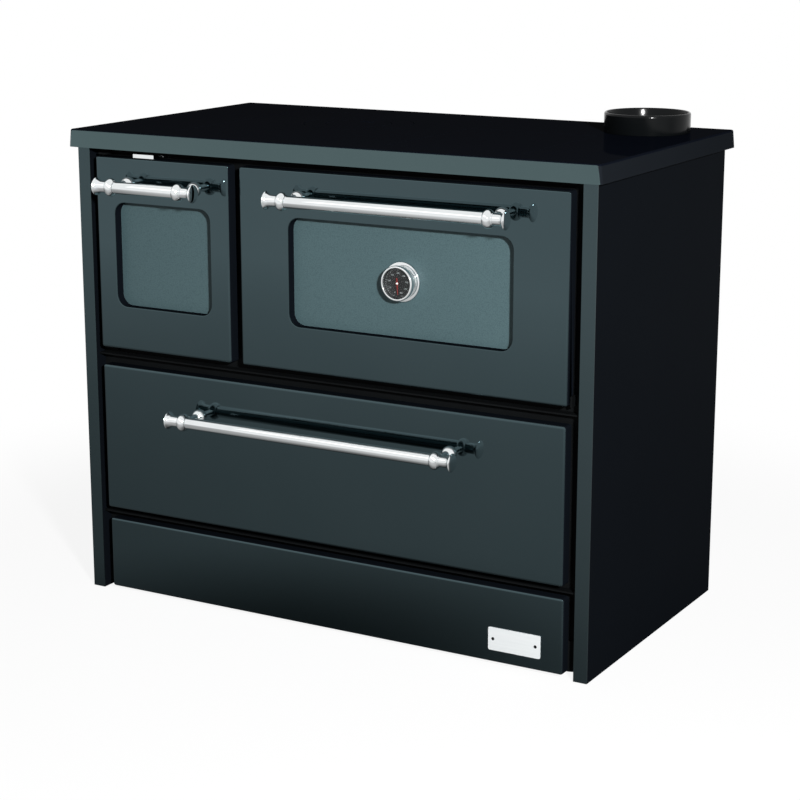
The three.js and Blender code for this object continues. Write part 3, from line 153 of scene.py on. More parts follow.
class Finish(Shading):
    """A material and the nodes behind it."""

    def __init__(self, name, **constants):
        self.material = bpy.data.materials.new(name)
        self.material.use_nodes = True
        super().__init__(self.material.node_tree)
        self.shader = self.tree.nodes["Principled BSDF"]
        for label, value in constants.items():
            self.shader.inputs[label.replace("_", " ")].default_value = value
        self.place = self.node("ShaderNodeTexCoord", output="Object")

    def noise(self, scale, detail=2.0, roughness=0.5, place=None):
        """A noise of about so many cells to the metre, from 0 to 1."""
        sockets = {"Vector": place or self.place, "Scale": scale, "Detail": detail, "Roughness": roughness}
        return self.node("ShaderNodeTexNoise", {"noise_dimensions": "3D"}, sockets, "Fac")

    def cells(self, scale, output="Distance"):
        return self.node("ShaderNodeTexVoronoi", None, {"Vector": self.place, "Scale": scale}, output)

    def axis(self, name):
        return self.node("ShaderNodeSeparateXYZ", None, {0: self.place}, name)

    def stretched(self, x, y, z):
        """The object's place with each axis scaled, which draws a pattern out along it."""
        return self.node("ShaderNodeMapping", None, {"Vector": self.place, "Scale": (x, y, z)})

    def blend(self, factor, first, second):
        """A colour between two others. Sockets 6, 7 and 2 are the Mix node's colours."""
        return self.node("ShaderNodeMix", {"data_type": "RGBA"}, {0: factor, 6: first, 7: second}, 2)

    def shades(self, factor, first, second):
        """A colour between two that are written as hexadecimal digits."""
        return self.blend(factor, srgb(first), srgb(second))

    def wear(self, **sockets):
        """Feeds the shader's own sockets, and gives the finished material back."""
        for label, value in sockets.items():
            self.feed(self.shader.inputs[label.replace("_", " ")], value)
        return self.material

    def bump(self, height, distance, strength=1.0):
        sockets = {"Height": height, "Distance": distance, "Strength": strength}
        return self.node("ShaderNodeBump", None, sockets, "Normal")


def srgb(code):
    """A colour written as six hexadecimal digits, as the shader wants it."""
    parts = [int(code[i : i + 2], 16) / 255 for i in (0, 2, 4)]
    linear = [p / 12.92 if p <= 0.04045 else ((p + 0.055) / 1.055) ** 2.4 for p in parts]
    return (*linear, 1.0)


print("slate as the shader sees it:", [round(v, 3) for v in srgb("39464a")[:3]])

# %% [markdown]
# ## Enamel
# Vitreous enamel is glass fused to sheet steel. Firing leaves a very shallow waviness, given
# here as bump, and specks a shade apart. The finishes start from a near-black enamel, and a band
# can put a mirror-like metallic slate on what faces forward: it shows mostly its surroundings,
# tinted. So a band is an axis, a level, two shades and whether it is metallic. Below that level
# the enamel takes those shades, as on the faces of the fronts, the hob's rim and the side panels'
# front edges. The side panels are of the fronts' slate enamel, so their near-black sides are
# painted shade, and the left edge's slate is painted a little darker than the right's. The hob's
# sides and leaning front are painted lighter than its deck and the doors: painted sheen. The hob
# also has a faint clear coat, in which the deck mirrors the collar.


# %% Enamel finishes
def enamel(name, shades, gloss, specular, bands=(), polish=0.0):
    """Fused enamel between two shades. gloss is the roughness, polish a faint clear coat."""
    finish = Finish(name, Metallic=0.0)
    finish.shader.inputs["Specular IOR Level"].default_value = specular
    finish.shader.inputs["Coat Weight"].default_value = polish
    cloud = finish.noise(5.0, 3.0)
    speck = finish.noise(900.0, 1.0).over(0.62, 0.05)
    waviness = finish.noise(60.0, 2.0)
    mottle = cloud * 0.7 + speck * 0.3
    colour = finish.shades(mottle, *shades)
    for axis, level, tones, metallic in bands:
        below = 1 - finish.axis(axis).over(level, 0.2 * MM)
        colour = finish.blend(below, colour, finish.shades(mottle, *tones))
        if metallic:
            finish.wear(Metallic=below)
    return finish.wear(
        Base_Color=colour,
        Roughness=gloss + cloud * gloss,
        Normal=finish.bump(waviness, 0.00001),
    )


BLACK = ("0a0d12", "0e1216")
hob_low, hob_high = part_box("hob_frame")
door_level = fire_door[1][0] + 1.6 * MM
panel_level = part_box("side_panel_right")[0].y + 1.2 * MM
door_face = ("Y", door_level, ("3e4d51", "455357"), True)
plinth_face = ("Y", panel_level, ("3e4d51", "455357"), True)
# Painted sheen: the hob's sides are a lighter copy of the deck's black, and its leaning front a lighter
# copy of the doors' slate.
rim_side_painted_sheen = ("Z", hob_high.z - 3 * MM, ("13161a", "191c20"), False)
rim_front_painted_sheen = ("Y", hob_low.y + 2.7 * MM, ("4b5c5e", "536466"), True)
# Painted shade: the side panels keep the slate only on their front edges, and the left edge is a darker
# copy of the right.
edge_left_painted_shade = ("Y", panel_level, ("3b494c", "424f53"), True)
edge_right = ("Y", panel_level, ("3e4b4e", "445155"), True)
slate = enamel("slate_enamel", BLACK, 0.02, 0.0, [door_face])
slate_plinth = enamel("slate_enamel_plinth", BLACK, 0.02, 0.0, [plinth_face])
# The near-black of the side panels' sides is painted shade.
side_painted_shade_left = enamel("side_enamel_left_painted_shade", ("0a0d11", "0c0f13"), 0.15, 0.001, [edge_left_painted_shade])
side_painted_shade_right = enamel("side_enamel_right_painted_shade", ("0a0d11", "0c0f13"), 0.15, 0.001, [edge_right])
hob_black = enamel("hob_enamel", ("090c14", "0d1118"), 0.04, 0.0, [rim_side_painted_sheen, rim_front_painted_sheen], 0.005)
oven_dark = enamel("oven_enamel", ("14181b", "2b3135"), 0.2, 0.4)
print("enamel finishes:", 6)

# %% [markdown]
# ## Grained enamel
# The sunk fields of the doors are a lighter enamel with a fine grain, like the skin of an orange
# seen from afar. Small cells give the grain to the colour and to the bump.

# %% Grained field
field = Finish("grained_enamel", Metallic=0.0)
field.shader.inputs["Specular IOR Level"].default_value = 0.2
grain = field.cells(520.0)
drift = field.noise(4.0, 2.0)
field_grain = field.wear(
    Base_Color=field.shades(grain * 0.9 + drift * 0.3, "485c5f", "37494d"),
    Roughness=0.38 + grain * 0.1,
    Normal=field.bump(grain, 0.00005, 0.6),
)
print("grain of about", round(1000 / 520, 1), "mm")

# %% [markdown]
# ## Metals
# Chrome mirrors its surroundings, so it needs little more than a trace of haze in its roughness.
# Zinc-coated sheet shows its frozen crystals as flat patches of differing sheen. Cast iron is
# grainy from its sand mould. The badge is brushed, so its scratches run one way.

# %% Chrome, zinc, iron and brushed plate
chrome_mix = Finish("chrome", Metallic=1.0)
haze = chrome_mix.noise(60.0, 3.0)
chrome = chrome_mix.wear(
    Base_Color=chrome_mix.shades(haze, "e2e6e7", "eceff0"),
    Roughness=0.015 + haze * 0.015,
    Normal=chrome_mix.bump(haze, 0.00001),
)

zinc_mix = Finish("zinc_sheet", Metallic=0.9)
crystal = zinc_mix.cells(70.0, output="Color")
crystal_tone = zinc_mix.node("ShaderNodeSeparateColor", None, {0: crystal})
rub = zinc_mix.noise(300.0, 3.0)
zinc = zinc_mix.wear(
    Base_Color=zinc_mix.shades(crystal_tone, "8c9294", "aab0b1"),
    Roughness=0.32 + crystal_tone * 0.14 + rub * 0.08,
    Normal=zinc_mix.bump(rub, 0.00002),
)


def iron(name, deep, light, rough, metal, specular, grit):
    """Cast iron: two shades and the grit of the mould."""
    finish = Finish(name, Metallic=metal)
    finish.shader.inputs["Specular IOR Level"].default_value = specular
    sand = finish.noise(650.0, 4.0, 0.6)
    cloud = finish.noise(12.0, 3.0)
    return finish.wear(
        Base_Color=finish.shades(cloud, deep, light),
        Roughness=rough + sand * rough * 0.3,
        Normal=finish.bump(sand, grit),
    )


cast_iron = iron("cast_iron", "17191a", "26292a", 0.5, 0.3, 0.4, 0.00015)
frame_black = iron("frame_black", "070809", "0d0f10", 0.5, 0.0, 0.05, 0.00004)
flue_black = iron("flue_black", "040506", "090b0c", 0.13, 0.0, 0.12, 0.000002)

plate_mix = Finish("brushed_plate", Metallic=0.25)
strokes = plate_mix.noise(400.0, 2.0, 0.6, plate_mix.stretched(0.03, 1.0, 1.0))
brushed = plate_mix.wear(
    Base_Color=plate_mix.shades(strokes, "d2d6d7", "dee1e2"),
    Roughness=0.24 + strokes * 0.16,
    Normal=plate_mix.bump(strokes, 0.00002),
)
print("metal finishes made")

# %% [markdown]
# ## Brick, rope and dial
# Fire brick is pressed from a pale clay with darker grit and small pores. The door seals are
# glass-fibre rope. The dial is a dull black, with pale marks and a red needle under clear glass.

# %% Brick, rope, dial, needle and glass
brick_mix = Finish("fire_brick", Metallic=0.0)
clay = brick_mix.noise(14.0, 5.0, 0.6)
pores = brick_mix.cells(260.0)
pits = 1 - pores.over(0.28, 0.1)
fire_brick = brick_mix.wear(
    Base_Color=brick_mix.shades(clay * 0.8 + pits * 0.3, "c8b892", "8d7c5d"),
    Roughness=0.85 + clay * 0.1,
    Normal=brick_mix.bump(clay - pits * 0.8, 0.0006),
)

rope_mix = Finish("rope_seal", Metallic=0.0)
fibre = rope_mix.noise(1600.0, 3.0, 0.7)
rope_grey = rope_mix.wear(
    Base_Color=rope_mix.shades(fibre, "2c2c2a", "5b5a56"),
    Roughness=0.85 + fibre * 0.1,
    Normal=rope_mix.bump(fibre, 0.0002),
)


def dull(name, deep, light, rough):
    """A plain lacquer with a faint mottle."""
    finish = Finish(name, Metallic=0.0)
    mottle = finish.noise(700.0, 2.0)
    return finish.wear(
        Base_Color=finish.shades(mottle, deep, light),
        Roughness=rough + mottle * 0.1,
        Normal=finish.bump(mottle, 0.00001),
    )


dial_black = dull("dial_black", "0a0c0d", "101314", 0.6)
dial_pale = dull("dial_marks", "929a9b", "a6adae", 0.5)
needle_red = dull("needle_red", "6a1614", "84201b", 0.35)

glass_mix = Finish("clear_glass", Metallic=0.0, Alpha=0.08, IOR=1.45)
smear = glass_mix.noise(40.0, 2.0)
clear_glass = glass_mix.wear(
    Base_Color=glass_mix.shades(smear, "101414", "1a2020"),
    Roughness=0.01 + smear * 0.02,
)
print("finishes so far:", len(bpy.data.materials))

# %% [markdown]
# ## Building a mesh
# Three small tools make most pieces. `made` turns points and faces into an object, with its
# faces outwards and its creases sharp. `skin` stretches faces between loops of points, which
# suits folded sheet. `turned` spins a profile, which suits knobs, rods and collars.


# %% Mesh tools
def shown(name, data):
    """A new object of the scene, for a mesh, a lamp or a camera."""
    thing = bpy.data.objects.new(name, data)
    bpy.context.collection.objects.link(thing)
    return thing


def made(name, points, faces, finish, crease=35):
    """A closed mesh object at the origin."""
    work = bmesh.new()
    corners = [work.verts.new(point) for point in points]
    for face in faces:
        work.faces.new([corners[i] for i in face])
    bmesh.ops.remove_doubles(work, verts=work.verts, dist=1e-7)
    bmesh.ops.recalc_face_normals(work, faces=work.faces)
    mesh = bpy.data.meshes.new(name)
    work.to_mesh(mesh)
    work.free()
    mesh.materials.append(finish)
    mesh.shade_smooth()
    mesh.set_sharp_from_angle(angle=math.radians(crease))
    return shown(name, mesh)


def skin(loops, closed):
    """Points and faces between loops of equally many points. An open skin gets two caps."""
    count = len(loops[0])
    points = [point for loop in loops for point in loop]
    faces = []
    for i in range(len(loops) if closed else len(loops) - 1):
        here, there = i * count, (i + 1) % len(loops) * count
        for j in range(count):
            k = (j + 1) % count
            faces.append((here + j, here + k, there + k, there + j))
    if not closed:
        faces.append(tuple(range(count)))
        faces.append(tuple(range(len(points) - count, len(points))))
    return points, faces


def turned(profile, axis, centre, segments=48, closed=False):
    """Points and faces of a profile of (radius, height) pairs turned about an axis."""
    loops = []
    for radius, height in profile:
        loop = []
        for i in range(segments):
            angle = 2 * math.pi * i / segments
            across, up = radius * math.cos(angle), radius * math.sin(angle)
            offset = {"X": (height, across, up), "Y": (across, height, up), "Z": (across, up, height)}
            loop.append(tuple(c + o for c, o in zip(centre, offset[axis])))
        loops.append(loop)
    points, faces = skin(loops, True)
    if not closed:
        faces = faces[: -segments]
    return points, faces


def in_metres(profile):
    """A profile that is written in millimetres."""
    return [(across * MM, along * MM) for across, along in profile]


def together(*parts):
    """Several sets of points and faces as one."""
    points, faces = [], []
    for more_points, more_faces in parts:
        start = len(points)
        points += more_points
        faces += [tuple(start + i for i in face) for face in more_faces]
    return points, faces


# %% [markdown]
# A piece rides on a body and stands for a node. Modifiers are turned into plain mesh first.


# %% Placing tools
def settled(piece):
    """The piece with its modifiers turned into mesh."""
    graph = bpy.context.evaluated_depsgraph_get()
    mesh = bpy.data.meshes.new_from_object(piece.evaluated_get(graph), depsgraph=graph)
    piece.modifiers.clear()
    piece.data = mesh
    return piece


def stands_for(piece, node):
    """The piece is shown in the node's place."""
    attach(piece, body_of[node])
    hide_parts(node)


def added_to(piece, body):
    """The piece is one more on a body."""
    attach(piece, body)


def softened(node, finish, width, segments=2):
    """The node's own shape, with its edges rounded to a width."""
    source = frame["nodes"][node].data
    work = bmesh.new()
    corners = [work.verts.new(vertex.co) for vertex in source.vertices]
    for polygon in source.polygons:
        work.faces.new([corners[i] for i in polygon.vertices])
    bmesh.ops.remove_doubles(work, verts=work.verts, dist=2e-6)
    bmesh.ops.dissolve_limit(work, angle_limit=math.radians(0.6), verts=work.verts, edges=work.edges)
    bmesh.ops.triangulate(work, faces=work.faces)
    mesh = bpy.data.meshes.new(node + "_soft")
    work.to_mesh(mesh)
    work.free()
    mesh.materials.append(finish)
    mesh.shade_smooth()
    piece = shown(node + "_soft", mesh)
    bevel = piece.modifiers.new("round", "BEVEL")
    bevel.width = width
    bevel.segments = segments
    bevel.limit_method = "ANGLE"
    bevel.angle_limit = math.radians(40)
    bevel.miter_outer = "MITER_ARC"
    even = piece.modifiers.new("even", "WEIGHTED_NORMAL")
    even.keep_sharp = True
    stands_for(settled(piece), node)
    return piece


def refinished(node, finish):
    """The node keeps its own mesh, with a better finish."""
    for slot in frame["nodes"][node].material_slots:
        slot.material = finish


print("tools ready")

# %% [markdown]
# ## Folded fronts
# Doors, drawer front and plinth are sheet steel, folded back all round, with a soft outer edge.
# Each is a row of rounded rectangles: from the fold's rear edge, round the corner, over the
# face and back along the inside. A door's face also dips into its sunk field. A short flat
# strip beside each curve keeps the large faces flat in the shading.

# %% Rounded rectangles
SHEET = 2 * MM
EASE = 0.5 * MM
EDGE_ROUND = 4 * MM
FRONT_CORNER = 5 * MM


def rectangle(x, z, y, radius, steps=6):
    """A rounded rectangle in a plane of one depth."""
    corners = [(x[1], z[0], -90), (x[1], z[1], 0), (x[0], z[1], 90), (x[0], z[0], 180)]
    loop = []
    for corner_x, corner_z, start in corners:
        centre_x = corner_x - math.copysign(radius, corner_x - middle(x))
        centre_z = corner_z - math.copysign(radius, corner_z - middle(z))
        for step in range(steps + 1):
            angle = math.radians(start + 90 * step / steps)
            loop.append((centre_x + radius * math.cos(angle), y, centre_z + radius * math.sin(angle)))
    return loop


def quarter(radius, steps=5):
    """Pairs of (along, down) on a quarter circle that starts upright."""
    turns = [math.radians(90 * step / steps) for step in range(steps + 1)]
    return [(radius * (1 - math.cos(t)), radius * (1 - math.sin(t))) for t in turns]


def front_loops(x, z, face, fold):
    """Outer loops of a folded front, from the fold's rear edge to the rim of its face."""
    steps = [(0, fold), (0, EDGE_ROUND + EASE), *quarter(EDGE_ROUND), (EDGE_ROUND + EASE, 0)]
    return [
        rectangle(shrunk(x, inward), shrunk(z, inward), face + back, max(FRONT_CORNER - inward, EASE))
        for inward, back in steps
    ]


def inside_loops(x, z, face, fold):
    """Inner loops, from the back of the face to the fold's rear edge."""
    x, z = shrunk(x, SHEET), shrunk(z, SHEET)
    radius = FRONT_CORNER - SHEET
    return [rectangle(x, z, face + back, radius) for back in (SHEET, fold)]


# %% [markdown]
# The drawer front and the plinth have plain faces.


# %% Plain fronts
def plain_front(node, finish):
    x, y, z = spans(node)
    fold = y[1] - y[0]
    outer = front_loops(x, z, y[0], fold)
    inner = inside_loops(x, z, y[0], fold)
    points, faces = skin([*reversed(outer), *reversed(inner)], False)
    piece = made(node + "_shell", points, faces, finish)
    stands_for(piece, node)
    print(node, "faces", len(faces))


plain_front("drawer_front", slate)
plain_front("plinth", slate_plinth)

# %% [markdown]
# The doors' fields are sunk by 18 mm behind a small lip. The pins of the hinges pass through
# the folds, so a door gets two holes cut for them.

# %% Doors
LIP = 1.2 * MM
FIELD_DEPTH = 17.7 * MM
FIELD_CORNER = 21 * MM
PIN_HOLE = 3.5 * MM
PIN_HOLE_LENGTH = 8 * MM
FIELD_SIZE = {"fire": (203 * MM, 185.5 * MM), "oven": (422 * MM, 185.5 * MM)}
FIELD_DROP = 79.5 * MM


def field_loops(x, z, face):
    """Loops from the face over the lip, down into the sunk field and back up behind it."""
    down = [(LIP + EASE, 0)]
    for step in range(6):
        angle = math.radians(90 * step / 5)
        down.append((LIP * (1 - math.sin(angle)), LIP * (1 - math.cos(angle))))
    down += [(0, LIP + EASE), (0, FIELD_DEPTH), (SHEET, FIELD_DEPTH), (SHEET, SHEET)]
    return [
        rectangle(shrunk(x, -out), shrunk(z, -out), face + back, FIELD_CORNER + out)
        for out, back in down
    ]


def rod(axis, centre, radius, length, segments=24):
    profile = [(0, -length / 2), (radius, -length / 2), (radius, length / 2), (0, length / 2)]
    return turned(profile, axis, centre, segments)


def holed(piece, cutter_shape):
    """The piece less a cutter."""
    cutter = made("cutter", *cutter_shape, None)
    cut = piece.modifiers.new("cut", "BOOLEAN")
    cut.operation = "DIFFERENCE"
    cut.solver = "EXACT"
    cut.object = cutter
    settled(piece)
    bpy.data.objects.remove(cutter)
    return piece


def door_panel(name, pin_axis, pins):
    node = name + "_door_panel"
    x, y, z = spans(node)
    fold = y[1] - y[0]
    width, height = FIELD_SIZE[name]
    field_x = (middle(x) - width / 2, middle(x) + width / 2)
    field_z = (z[1] - FIELD_DROP - height, z[1] - FIELD_DROP)
    loops = [
        *front_loops(x, z, y[0], fold),
        *field_loops(field_x, field_z, y[0]),
        *inside_loops(x, z, y[0], fold),
    ]
    piece = made(node + "_shell", *skin(loops, True), slate)
    cutter = together(*[rod(pin_axis, pin, PIN_HOLE, PIN_HOLE_LENGTH) for pin in pins])
    stands_for(holed(piece, cutter), node)
    return field_x, field_z


PIN_IN = 6.5 * MM
PIN_BACK = 16 * MM
fire_x, fire_y, fire_z = fire_door
oven_x, oven_y, oven_z = oven_door
fire_pins = [(fire_x[0] + PIN_IN, fire_y[0] + PIN_BACK, z) for z in fire_z]
oven_pins = [(x, oven_y[0] + PIN_BACK, oven_z[0] + PIN_IN) for x in oven_x]
fields = [door_panel("fire", "Z", fire_pins), door_panel("oven", "X", oven_pins)]
print("fields, mm:", [[round((s[1] - s[0]) / MM) for s in field] for field in fields])

# %% [markdown]
# Behind each sunk field lies its grained plate, and behind that the iron liner that faces the
# heat. Their shapes are right in the frame, so they keep them with eased edges.

# %% Field plates and liners
for name in ("fire", "oven"):
    softened(name + "_door_inset", field_grain, 0.3 * MM)
    softened(name + "_door_liner", cast_iron, 0.5 * MM)
print("field plates and liners done")

# %% [markdown]
# ## Rail handles
# A handle is a turned chrome bar that runs through two beads. Each bead sits on a stem with a
# domed foot, and past the beads the bar thins to a neck and flares into a thin round end.

# %% Handle bars
BAR = 10.5 * MM
NECK = 9.3 * MM
BEAD = 15.5 * MM
BEAD_HALF = 11 * MM
END_REACH = 34 * MM


def handle_bar(node):
    x, y, z = spans(node)
    centre = (middle(x), middle(y), middle(z))
    end = (x[1] - x[0]) / 2
    flare = [
        (0, 0), (5, 0.15), (10, 0.7), (13.3, 1.6), (15, 2.5), (15.5, 3.2), (15.3, 3.9), (14.4, 4.6),
        (13, 5.6), (11.6, 7.1), (10.5, 9), (9.8, 11.3), (9.4, 14),
    ]
    shoulder = end - END_REACH + BEAD_HALF - 1.5 * MM
    right = [(r, end - h) for r, h in in_metres(flare)]
    right += [(NECK, shoulder + EASE), (NECK, shoulder), (BAR - EASE / 2, shoulder), (BAR, shoulder - EASE)]
    left = [(r, -h) for r, h in reversed(right)]
    piece = made(node + "_turned", *turned([*right, *left], "X", centre, 48), chrome, 50)
    stands_for(piece, node)
    return centre


def handle_post(node, bar_centre):
    x, y, z = spans(node)
    axis_y, axis_z = bar_centre[1], bar_centre[2]
    bore = BAR + 0.3 * MM
    start = math.asin(bore / BEAD)
    steps = 14
    angles = [start + (math.pi - 2 * start) * i / steps for i in range(steps + 1)]
    bead = [(BEAD * math.sin(a), -BEAD_HALF * math.cos(a)) for a in angles]
    bead += [(bore, bead[-1][1]), (bore, bead[0][1])]
    ball = turned(bead, "X", (middle(x), axis_y, axis_z), 48, True)
    foot = y[1]
    stem = [
        (0, axis_y + 12.6 * MM), (6 * MM, axis_y + 12.6 * MM), (6 * MM, foot - 13 * MM),
        (6.3 * MM, foot - 11.2 * MM), (7.2 * MM, foot - 9.9 * MM), (8.8 * MM, foot - 8.7 * MM),
        (10.6 * MM, foot - 7 * MM), (12 * MM, foot - 4.8 * MM), (12.8 * MM, foot - 2.6 * MM),
        (13 * MM, foot - 1 * MM), (12.8 * MM, foot), (0, foot),
    ]
    post = turned(stem, "Y", (middle(x), 0, axis_z), 40)
    piece = made(node + "_turned", *together(ball, post), chrome, 50)
    stands_for(piece, node)


for name in ("fire_door", "oven_door", "drawer"):
    bar = handle_bar(name + "_handle_bar")
    handle_post(name + "_handle_post_left", bar)
    handle_post(name + "_handle_post_right", bar)
    print(name, "handle axis, mm:", [round(v / MM, 1) for v in bar])

# %% [markdown]
# ## Thermometer
# A chrome case with a rounded bezel, a neck and a wide rear flange, and in it a black dial and
# a red needle under flat glass. The dial's marks follow a rule, one short bar every few degrees
# round an arc, so Geometry Nodes make them. The numbers are plain text turned into mesh.

# %% Case, dial, needle and glass
case_x, case_y, case_z = spans("thermometer_case")
gauge = (middle(case_x), case_y[0], middle(case_z))
case_profile = [
    (25.7, 1.0), (25.9, 0.4), (26.5, 0), (27.4, 0), (28.2, 0.25), (28.9, 0.8), (29.35, 1.6),
    (29.5, 2.6), (29.5, 8.6), (29.3, 9.4), (28.8, 9.9), (28, 10), (28, 17.6), (28.2, 17.9),
    (28.6, 18), (32, 18), (32.8, 18.3), (33.3, 18.9), (33.5, 19.7), (33.5, 21.7), (33.2, 22),
    (4, 22), (4, 68), (3.4, 69.4), (2.5, 70), (0, 70), (0, 20), (26, 20), (26, 8.3), (25.7, 8.3),
]
case_shape = turned(in_metres(case_profile), "Y", gauge, 64, True)
stands_for(made("thermometer_case_turned", *case_shape, chrome, 50), "thermometer_case")
softened("thermometer_dial", dial_black, 0.15 * MM)
softened("thermometer_needle", needle_red, 0.12 * MM)
glass_back = spans("thermometer_glass")[1][0] - gauge[1]
pane = in_metres([(0, 0), (25.1, 0), (25.4, 0.3), (25.4, 1.1), (25.1, 1.4), (0, 1.4)])
pane_shape = turned([(r, glass_back + h) for r, h in pane], "Y", gauge, 64)
stands_for(made("thermometer_glass_turned", *pane_shape, clear_glass), "thermometer_glass")
print("gauge centre, mm:", [round(v / MM, 1) for v in gauge])

# %% [markdown]
# ## Geometry Nodes
# A small wrapper builds a node tree with named inputs, puts it on an object as a modifier, sets
# each input by its socket's identifier, and turns the result into a plain mesh.


# %% Tree builder
class Tree:
    """A Geometry Nodes tree with named inputs."""

    def __init__(self, name):
        self.tree = bpy.data.node_groups.new(name, "GeometryNodeTree")
        self.tree.interface.new_socket("Geometry", in_out="INPUT", socket_type="NodeSocketGeometry")
        self.tree.interface.new_socket("Geometry", in_out="OUTPUT", socket_type="NodeSocketGeometry")
        self.inlet = self.tree.nodes.new("NodeGroupInput")
        self.outlet = self.tree.nodes.new("NodeGroupOutput")
        self.base = self.inlet.outputs["Geometry"]

    def input(self, name, kind="NodeSocketFloat"):
        self.tree.interface.new_socket(name, in_out="INPUT", socket_type=kind)
        return self.inlet.outputs[name]

    def node(self, kind, settings=None, sockets=None, output=0):
        added = self.tree.nodes.new(kind)
        for name, value in (settings or {}).items():
            setattr(added, name, value)
        for name, value in (sockets or {}).items():
            if isinstance(value, bpy.types.NodeSocket):
                self.tree.links.new(value, added.inputs[name])
            else:
                added.inputs[name].default_value = value
        return added.outputs[output]

    def maths(self, operation, first, second=0.0):
        return self.node("ShaderNodeMath", {"operation": operation}, {0: first, 1: second})

    def point(self, x=0.0, y=0.0, z=0.0):
        return self.node("ShaderNodeCombineXYZ", None, {"X": x, "Y": y, "Z": z})

    def end(self, geometry, finish):
        real = self.node("GeometryNodeRealizeInstances", None, {"Geometry": geometry})
        painted = self.node("GeometryNodeSetMaterial", None, {"Geometry": real, "Material": finish})
        self.tree.links.new(painted, self.outlet.inputs["Geometry"])

    def grow(self, piece, values):
        """Runs the tree on a piece with its inputs set, and keeps the mesh."""
        modifier = piece.modifiers.new(self.tree.name, "NODES")
        modifier.node_group = self.tree
        for item in self.tree.interface.items_tree:
            if item.item_type == "SOCKET" and item.in_out == "INPUT" and item.name in values:
                modifier[item.identifier] = values[item.name]
        return settled(piece)


def scatter(name, points):
    """Loose points, as a base for a tree to work on."""
    mesh = bpy.data.meshes.new(name)
    mesh.from_pydata([tuple(point) for point in points], [], [])
    return shown(name, mesh)


# %% [markdown]
# The dial's marks are bars set round an arc. Every fifth bar is long. A bar is a thin block,
# moved out from the dial's middle and turned about it by its number.

# %% Dial marks
DIAL_START = 200
DIAL_STEP = 8
DIAL_COUNT = 41
LONG_STEP = 5 * DIAL_STEP
LONG_COUNT = 9
dial_front = spans("thermometer_dial")[1][0]
MARK_RISE = 0.12 * MM


def mark_tree(name, finish):
    tree = Tree(name)
    count = tree.input("Count", "NodeSocketInt")
    first = tree.input("Start Angle")
    step = tree.input("Step Angle")
    reach = tree.input("Radius")
    size = tree.input("Bar Size", "NodeSocketVector")
    row = tree.node("GeometryNodeMeshLine", None, {"Count": count, "Offset": (0, 0, 0)})
    index = tree.node("GeometryNodeInputIndex")
    angle = tree.maths("ADD", first, tree.maths("MULTIPLY", index, step))
    across = tree.maths("MULTIPLY", reach, tree.maths("SINE", angle))
    up = tree.maths("MULTIPLY", reach, tree.maths("COSINE", angle))
    placed = tree.node(
        "GeometryNodeSetPosition", None, {"Geometry": row, "Position": tree.point(across, 0.0, up)}
    )
    bar = tree.node("GeometryNodeMeshCube", None, {"Size": size})
    turn = tree.node("FunctionNodeEulerToRotation", None, {0: tree.point(0.0, angle, 0.0)})
    bars = tree.node(
        "GeometryNodeInstanceOnPoints", None, {"Points": placed, "Instance": bar, "Rotation": turn}
    )
    tree.end(bars, finish)
    return tree


marks = mark_tree("dial_marks", dial_pale)


def dial_ring(name, count, step, reach, size):
    """One ring of marks on the dial's face."""
    values = {
        "Count": count,
        "Start Angle": math.radians(DIAL_START),
        "Step Angle": math.radians(step),
        "Radius": reach,
        "Bar Size": size,
    }
    ring = marks.grow(scatter(name, [(0, 0, 0)]), values)
    for vertex in ring.data.vertices:
        vertex.co += Vector((gauge[0], dial_front - MARK_RISE / 2, gauge[2]))
    added_to(ring, "oven_door")
    return len(ring.data.polygons)


small = dial_ring("dial_marks_small", DIAL_COUNT, DIAL_STEP, 23 * MM, (0.3 * MM, MARK_RISE, 1.2 * MM))
large = dial_ring("dial_marks_large", LONG_COUNT, LONG_STEP, 22.2 * MM, (0.6 * MM, MARK_RISE, 2.4 * MM))
print("faces in the dial's marks:", small + large)

# %% [markdown]
# Plain numbers sit inside the long marks. A text object is drawn in the XY plane, so its mesh is
# stood up to face the front.


# %% Dial numbers
def number(text, angle, reach, height):
    """A number on the dial as points and faces, stood up to face the front."""
    curve = bpy.data.curves.new("number_" + text, "FONT")
    curve.body = text
    curve.size = height
    curve.align_x = "CENTER"
    curve.align_y = "CENTER"
    curve.extrude = MARK_RISE / 2
    drawn = shown("number_" + text, curve)
    graph = bpy.context.evaluated_depsgraph_get()
    mesh = bpy.data.meshes.new_from_object(drawn.evaluated_get(graph), depsgraph=graph)
    across, up = reach * math.sin(angle), reach * math.cos(angle)
    face = dial_front - MARK_RISE / 2
    points = [(gauge[0] + across + v.co.x, face - v.co.z, gauge[2] + up + v.co.y) for v in mesh.vertices]
    faces = [tuple(p.vertices) for p in mesh.polygons]
    bpy.data.objects.remove(drawn)
    return points, faces


NUMBER_REACH = 16.8 * MM
NUMBER_HEIGHT = 3.7 * MM
numbers = []
for i in range(LONG_COUNT):
    angle = math.radians(DIAL_START + LONG_STEP * i)
    numbers.append(number(str(50 * i), angle, NUMBER_REACH, NUMBER_HEIGHT))
numerals = made("dial_numbers", *together(*numbers), dial_pale)
added_to(numerals, "oven_door")
hub = [(0, 0), (1.9, 0), (2.2, 0.25), (2.2, 0.5), (0, 0.5)]
hub_place = (gauge[0], spans("thermometer_needle")[1][0] - 0.5 * MM, gauge[2])
hub_shape = turned(in_metres(hub), "Y", hub_place, 24)
added_to(made("needle_hub", *hub_shape, chrome), "needle")
print("numbers:", [50 * i for i in range(LONG_COUNT)])

# %% [markdown]
# ## Hob
# The hob is a shallow enamelled tray turned upside down: its edge leans outwards and meets the
# deck in a soft round. The deck is open for the cooking plates and the flue. The solid tray is
# skinned from rectangles, then its hollow and openings are cut out.

